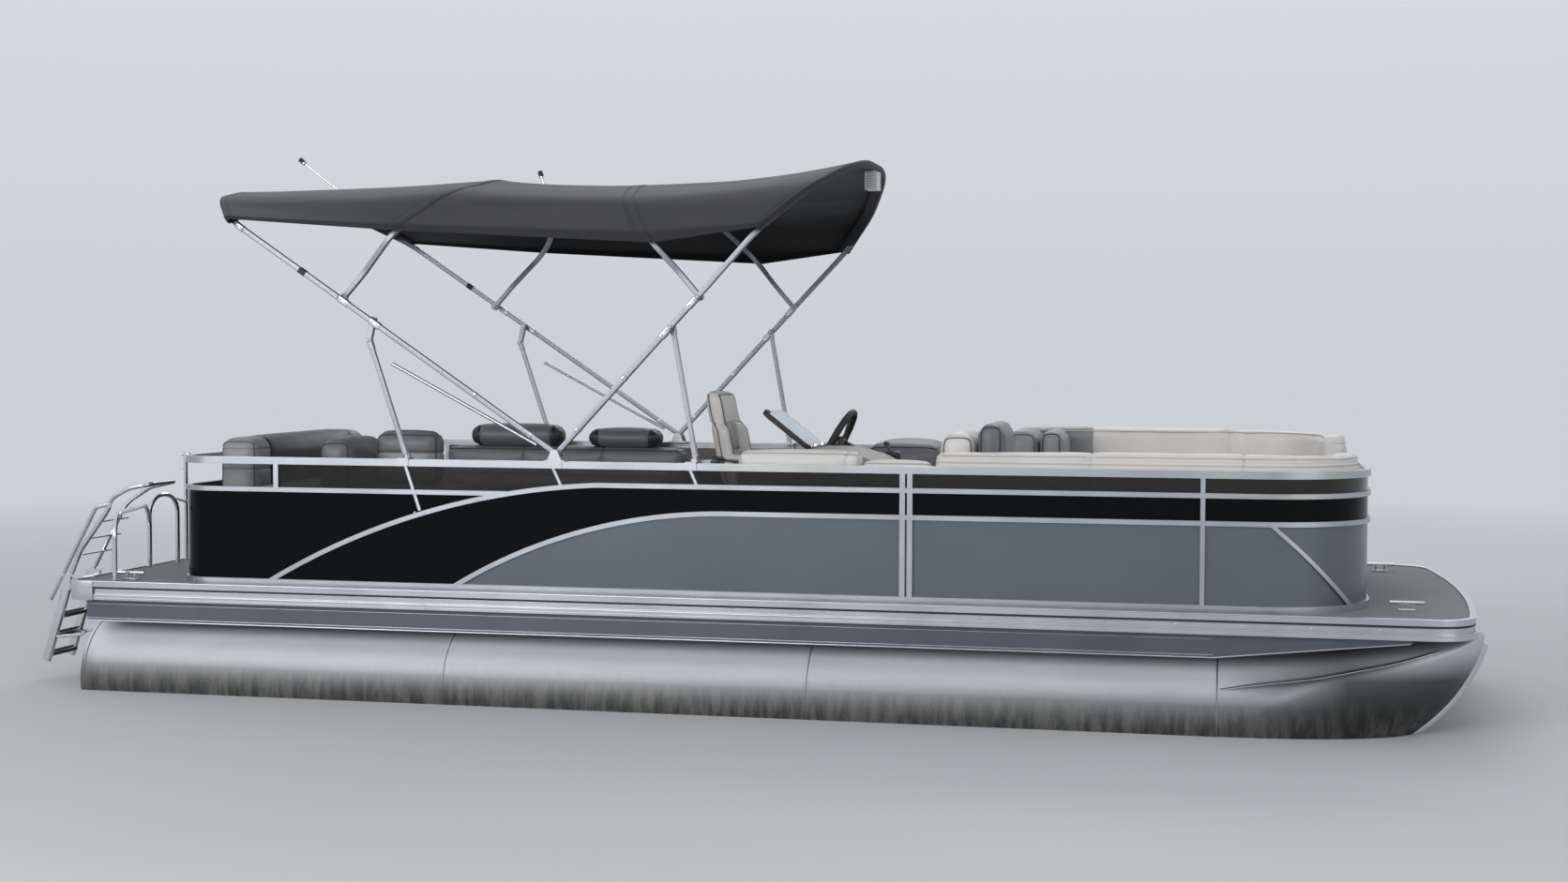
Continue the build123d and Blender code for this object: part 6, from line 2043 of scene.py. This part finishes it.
# lens of the stern light and screws of the hoops' feet
join_parts("pole_lens",
    [lathe_parts([(0.0, 0.0), (0.0118, 0.0), (0.0125, 0.004), (0.0125, 0.016), (0.0118, 0.020),
    (0.0, 0.020)], P(30, -90, 624), Vector((1, 0, 0)), 20)], "white")
parts = []
for x, y in ((248, -1222), (50, -509), (90, -265)):
    for k in range(3):
        a = math.radians(120 * k + 30)
        parts.append(bolt_parts(P(x + 17 * math.cos(a), y + 17 * math.sin(a), 6), Vector((0, 0, 1)), 0.004,
            0.0025))
for y in (-1090, -780):
    for x in (-130, -90, 30):
        parts.append(bolt_parts(P(x, y + (11 if x > 0 else 0), 13), Vector((0, 0, 1)), 0.005, 0.003))
join_parts("stern_screws", parts, "steel")

# three strakes along the underside of the pod
parts = []
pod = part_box("motor_pod")
for y in (-0.16, 0.0, 0.16):
    parts.append(box_parts(Vector((pod[0].x + 0.12, y - 0.004, pod[0].z + 0.02)),
        Vector((pod[1].x - 0.35, y + 0.004, pod[0].z + 0.03)), 0.002))
join_parts("pod_strakes", parts, "hull", sharp=40)


# Seat bases

def door(x, z, y, way, parts, knobs):
    """Raised door with a finger pull, on a base's face that looks along y; only way 1 is drawn, other values
    of way draw nothing.
    """
    if way == 1:
        side = 1 if x[2] > 0 else -1
        parts.append(box_parts(P(x[0], min(y, y + side * 6), z[0]), P(x[1], max(y, y + side * 6), z[1]),
            0.003))
        knobs.append(box_parts(P((x[0] + x[1]) / 2 - 45, min(y + side * 5, y + side * 9), z[1] - 46),
            P((x[0] + x[1]) / 2 + 45, max(y + side * 5, y + side * 9), z[1] - 22), 0.003))


parts, knobs = [], []
for side, x0 in ((-1, 4640), (1, 4810)):
    inward = -side
    for x in ((x0 + 60, x0 + 620, inward), (x0 + 680, x0 + 1240, inward)):
        door(x, (70, 360), side * 470, 1, parts, knobs)
for x in ((1320, 1760, -1), (1800, 2240, -1), (2280, 2730, -1)):
    door(x, (70, 360), 520, 1, parts, knobs)
door((4020, 4390, -1), (70, 360), 620, 1, parts, knobs)
for x in ((1360, 1980, 1),):
    door(x, (70, 360), -620, 1, parts, knobs)
door((3700, 3900, 1), (90, 500), -1060, 1, parts, knobs)
door((3950, 4095, 1), (90, 440), -500, 1, parts, knobs)
join_parts("locker_doors", parts, "base", sharp=35)
join_parts("door_pulls", knobs, "black", sharp=35)


finish_cushions()
parts = {}
for obj, line in bow_lines:
    parts.setdefault(obj.name, []).append(line)
for name, lines in parts.items():
    tree = BVHTree.FromObject(bpy.data.objects[name], bpy.context.evaluated_depsgraph_get())
    cords = []
    for line in lines:
        cords.append(cord_parts([(tree.find_nearest(q)[0] + q) / 2 for q in line], 0.0034, count=7))
    join_parts(name + "_piping", cords, "welt_light")

# Floor, light and camera

HORIZON = (0.60, 0.63, 0.66)


def build_stage():
    scene = bpy.context.scene
    z = 0.278
    verts = [Vector((-60, -60, z)), Vector((60, -60, z)), Vector((60, 60, z)), Vector((-60, 60, z))]
    data = bpy.data.meshes.new("floor")
    data.from_pydata([tuple(v) for v in verts], [], [(0, 1, 2, 3)])
    floor = bpy.data.objects.new("floor", data)
    scene.collection.objects.link(floor)
    m, nt, b = new_material("pale_floor")
    grain = noise_tex(nt, 0.6, 3.0, 0.5)
    put(nt, b.inputs["Base Color"], mix(nt, grain, (0.60, 0.61, 0.62), (0.63, 0.64, 0.65)))
    b.inputs["Roughness"].default_value = 0.8
    b.inputs["Specular IOR Level"].default_value = 0.2
    xyz = height_z(nt)
    far = maths(nt, "SQRT",
        maths(nt, "ADD", maths(nt, "POWER", xyz[0], 2.0), maths(nt, "POWER", xyz[1], 2.0)))
    far = ramp(nt, maths(nt, "MULTIPLY_ADD", far, 0.10, -0.60), [(0.0, 0.0), (1.0, 1.0)])
    lp = nt.nodes.new("ShaderNodeLightPath")
    seen = maths(nt, "MAXIMUM", lp.outputs["Is Camera Ray"], lp.outputs["Is Glossy Ray"])
    glow = nt.nodes.new("ShaderNodeEmission")
    put(nt, glow.inputs["Color"], HORIZON)
    both = nt.nodes.new("ShaderNodeMixShader")
    nt.links.new(maths(nt, "MULTIPLY", far, seen), both.inputs[0])
    nt.links.new(b.outputs[0], both.inputs[1])
    nt.links.new(glow.outputs[0], both.inputs[2])
    nt.links.new(both.outputs[0], [n for n in nt.nodes if n.type == "OUTPUT_MATERIAL"][0].inputs[0])
    data.materials.append(m)

    world = bpy.data.worlds.new("studio")
    scene.world = world
    world.use_nodes = True
    nt = world.node_tree
    nt.nodes.clear()
    out = nt.nodes.new("ShaderNodeOutputWorld")
    tc = nt.nodes.new("ShaderNodeTexCoord")
    sep = nt.nodes.new("ShaderNodeSeparateXYZ")
    nt.links.new(tc.outputs["Generated"], sep.inputs[0])
    sky = ramp(nt, sep.outputs[2],
        [(0.0, HORIZON), (0.25, (0.70, 0.735, 0.77)), (0.6, (0.80, 0.83, 0.87)), (1.0, (0.86, 0.88, 0.91))])
    lit = nt.nodes.new("ShaderNodeBackground")
    put(nt, lit.inputs["Color"], sky)
    lit.inputs["Strength"].default_value = 0.62
    seen = nt.nodes.new("ShaderNodeBackground")
    put(nt, seen.inputs["Color"], sky)
    seen.inputs["Strength"].default_value = 1.0
    lp = nt.nodes.new("ShaderNodeLightPath")
    which = maths(nt, "MAXIMUM", lp.outputs["Is Camera Ray"], lp.outputs["Is Transmission Ray"])
    which = maths(nt, "MAXIMUM", which, lp.outputs["Is Glossy Ray"])
    sh = nt.nodes.new("ShaderNodeMixShader")
    nt.links.new(which, sh.inputs[0])
    nt.links.new(lit.outputs[0], sh.inputs[1])
    nt.links.new(seen.outputs[0], sh.inputs[2])
    nt.links.new(sh.outputs[0], out.inputs[0])

    def area(name, place, target, size, power):
        data = bpy.data.lights.new(name, "AREA")
        data.shape = "RECTANGLE"
        data.size = size[0]
        data.size_y = size[1]
        data.energy = power
        lamp = bpy.data.objects.new(name, data)
        scene.collection.objects.link(lamp)
        lamp.location = place
        way = Vector(target) - Vector(place)
        lamp.rotation_euler = way.to_track_quat("-Z", "Y").to_euler()
        return lamp

    area("key", (-5.5, -12.0, 5.2), (0, 0, 0.7), (9.0, 5.0), 760.0)
    area("fill", (9.5, -8.0, 4.0), (0.5, 0, 0.8), (6.0, 4.0), 170.0)
    area("back", (1.0, 9.0, 9.0), (0, 0, 1.0), (7.0, 3.0), 330.0)


def build_camera():
    scene = bpy.context.scene
    data = bpy.data.cameras.new("camera")
    data.sensor_fit = "HORIZONTAL"
    data.sensor_width = 36.0
    data.lens = 2190.67 / 1672.0 * 36.0
    data.clip_end = 400.0
    cam = bpy.data.objects.new("camera", data)
    scene.collection.objects.link(cam)
    yaw = math.radians(-12.379)
    pitch = math.radians(2.409)
    roll = math.radians(0.164)
    ahead = Vector((math.sin(yaw) * math.cos(pitch), math.cos(yaw) * math.cos(pitch), -math.sin(pitch)))
    right = Vector((math.cos(yaw), -math.sin(yaw), 0.0))
    up = right.cross(ahead)
    r2 = right * math.cos(roll) + up * math.sin(roll)
    u2 = up * math.cos(roll) - right * math.sin(roll)
    m = Matrix((
        (r2.x, u2.x, -ahead.x, 2.590),
        (r2.y, u2.y, -ahead.y, -11.134),
        (r2.z, u2.z, -ahead.z, 2.085),
        (0, 0, 0, 1),
    ))
    cam.matrix_world = m
    scene.camera = cam
    scene.view_settings.view_transform = "Standard"


build_stage()
build_camera()
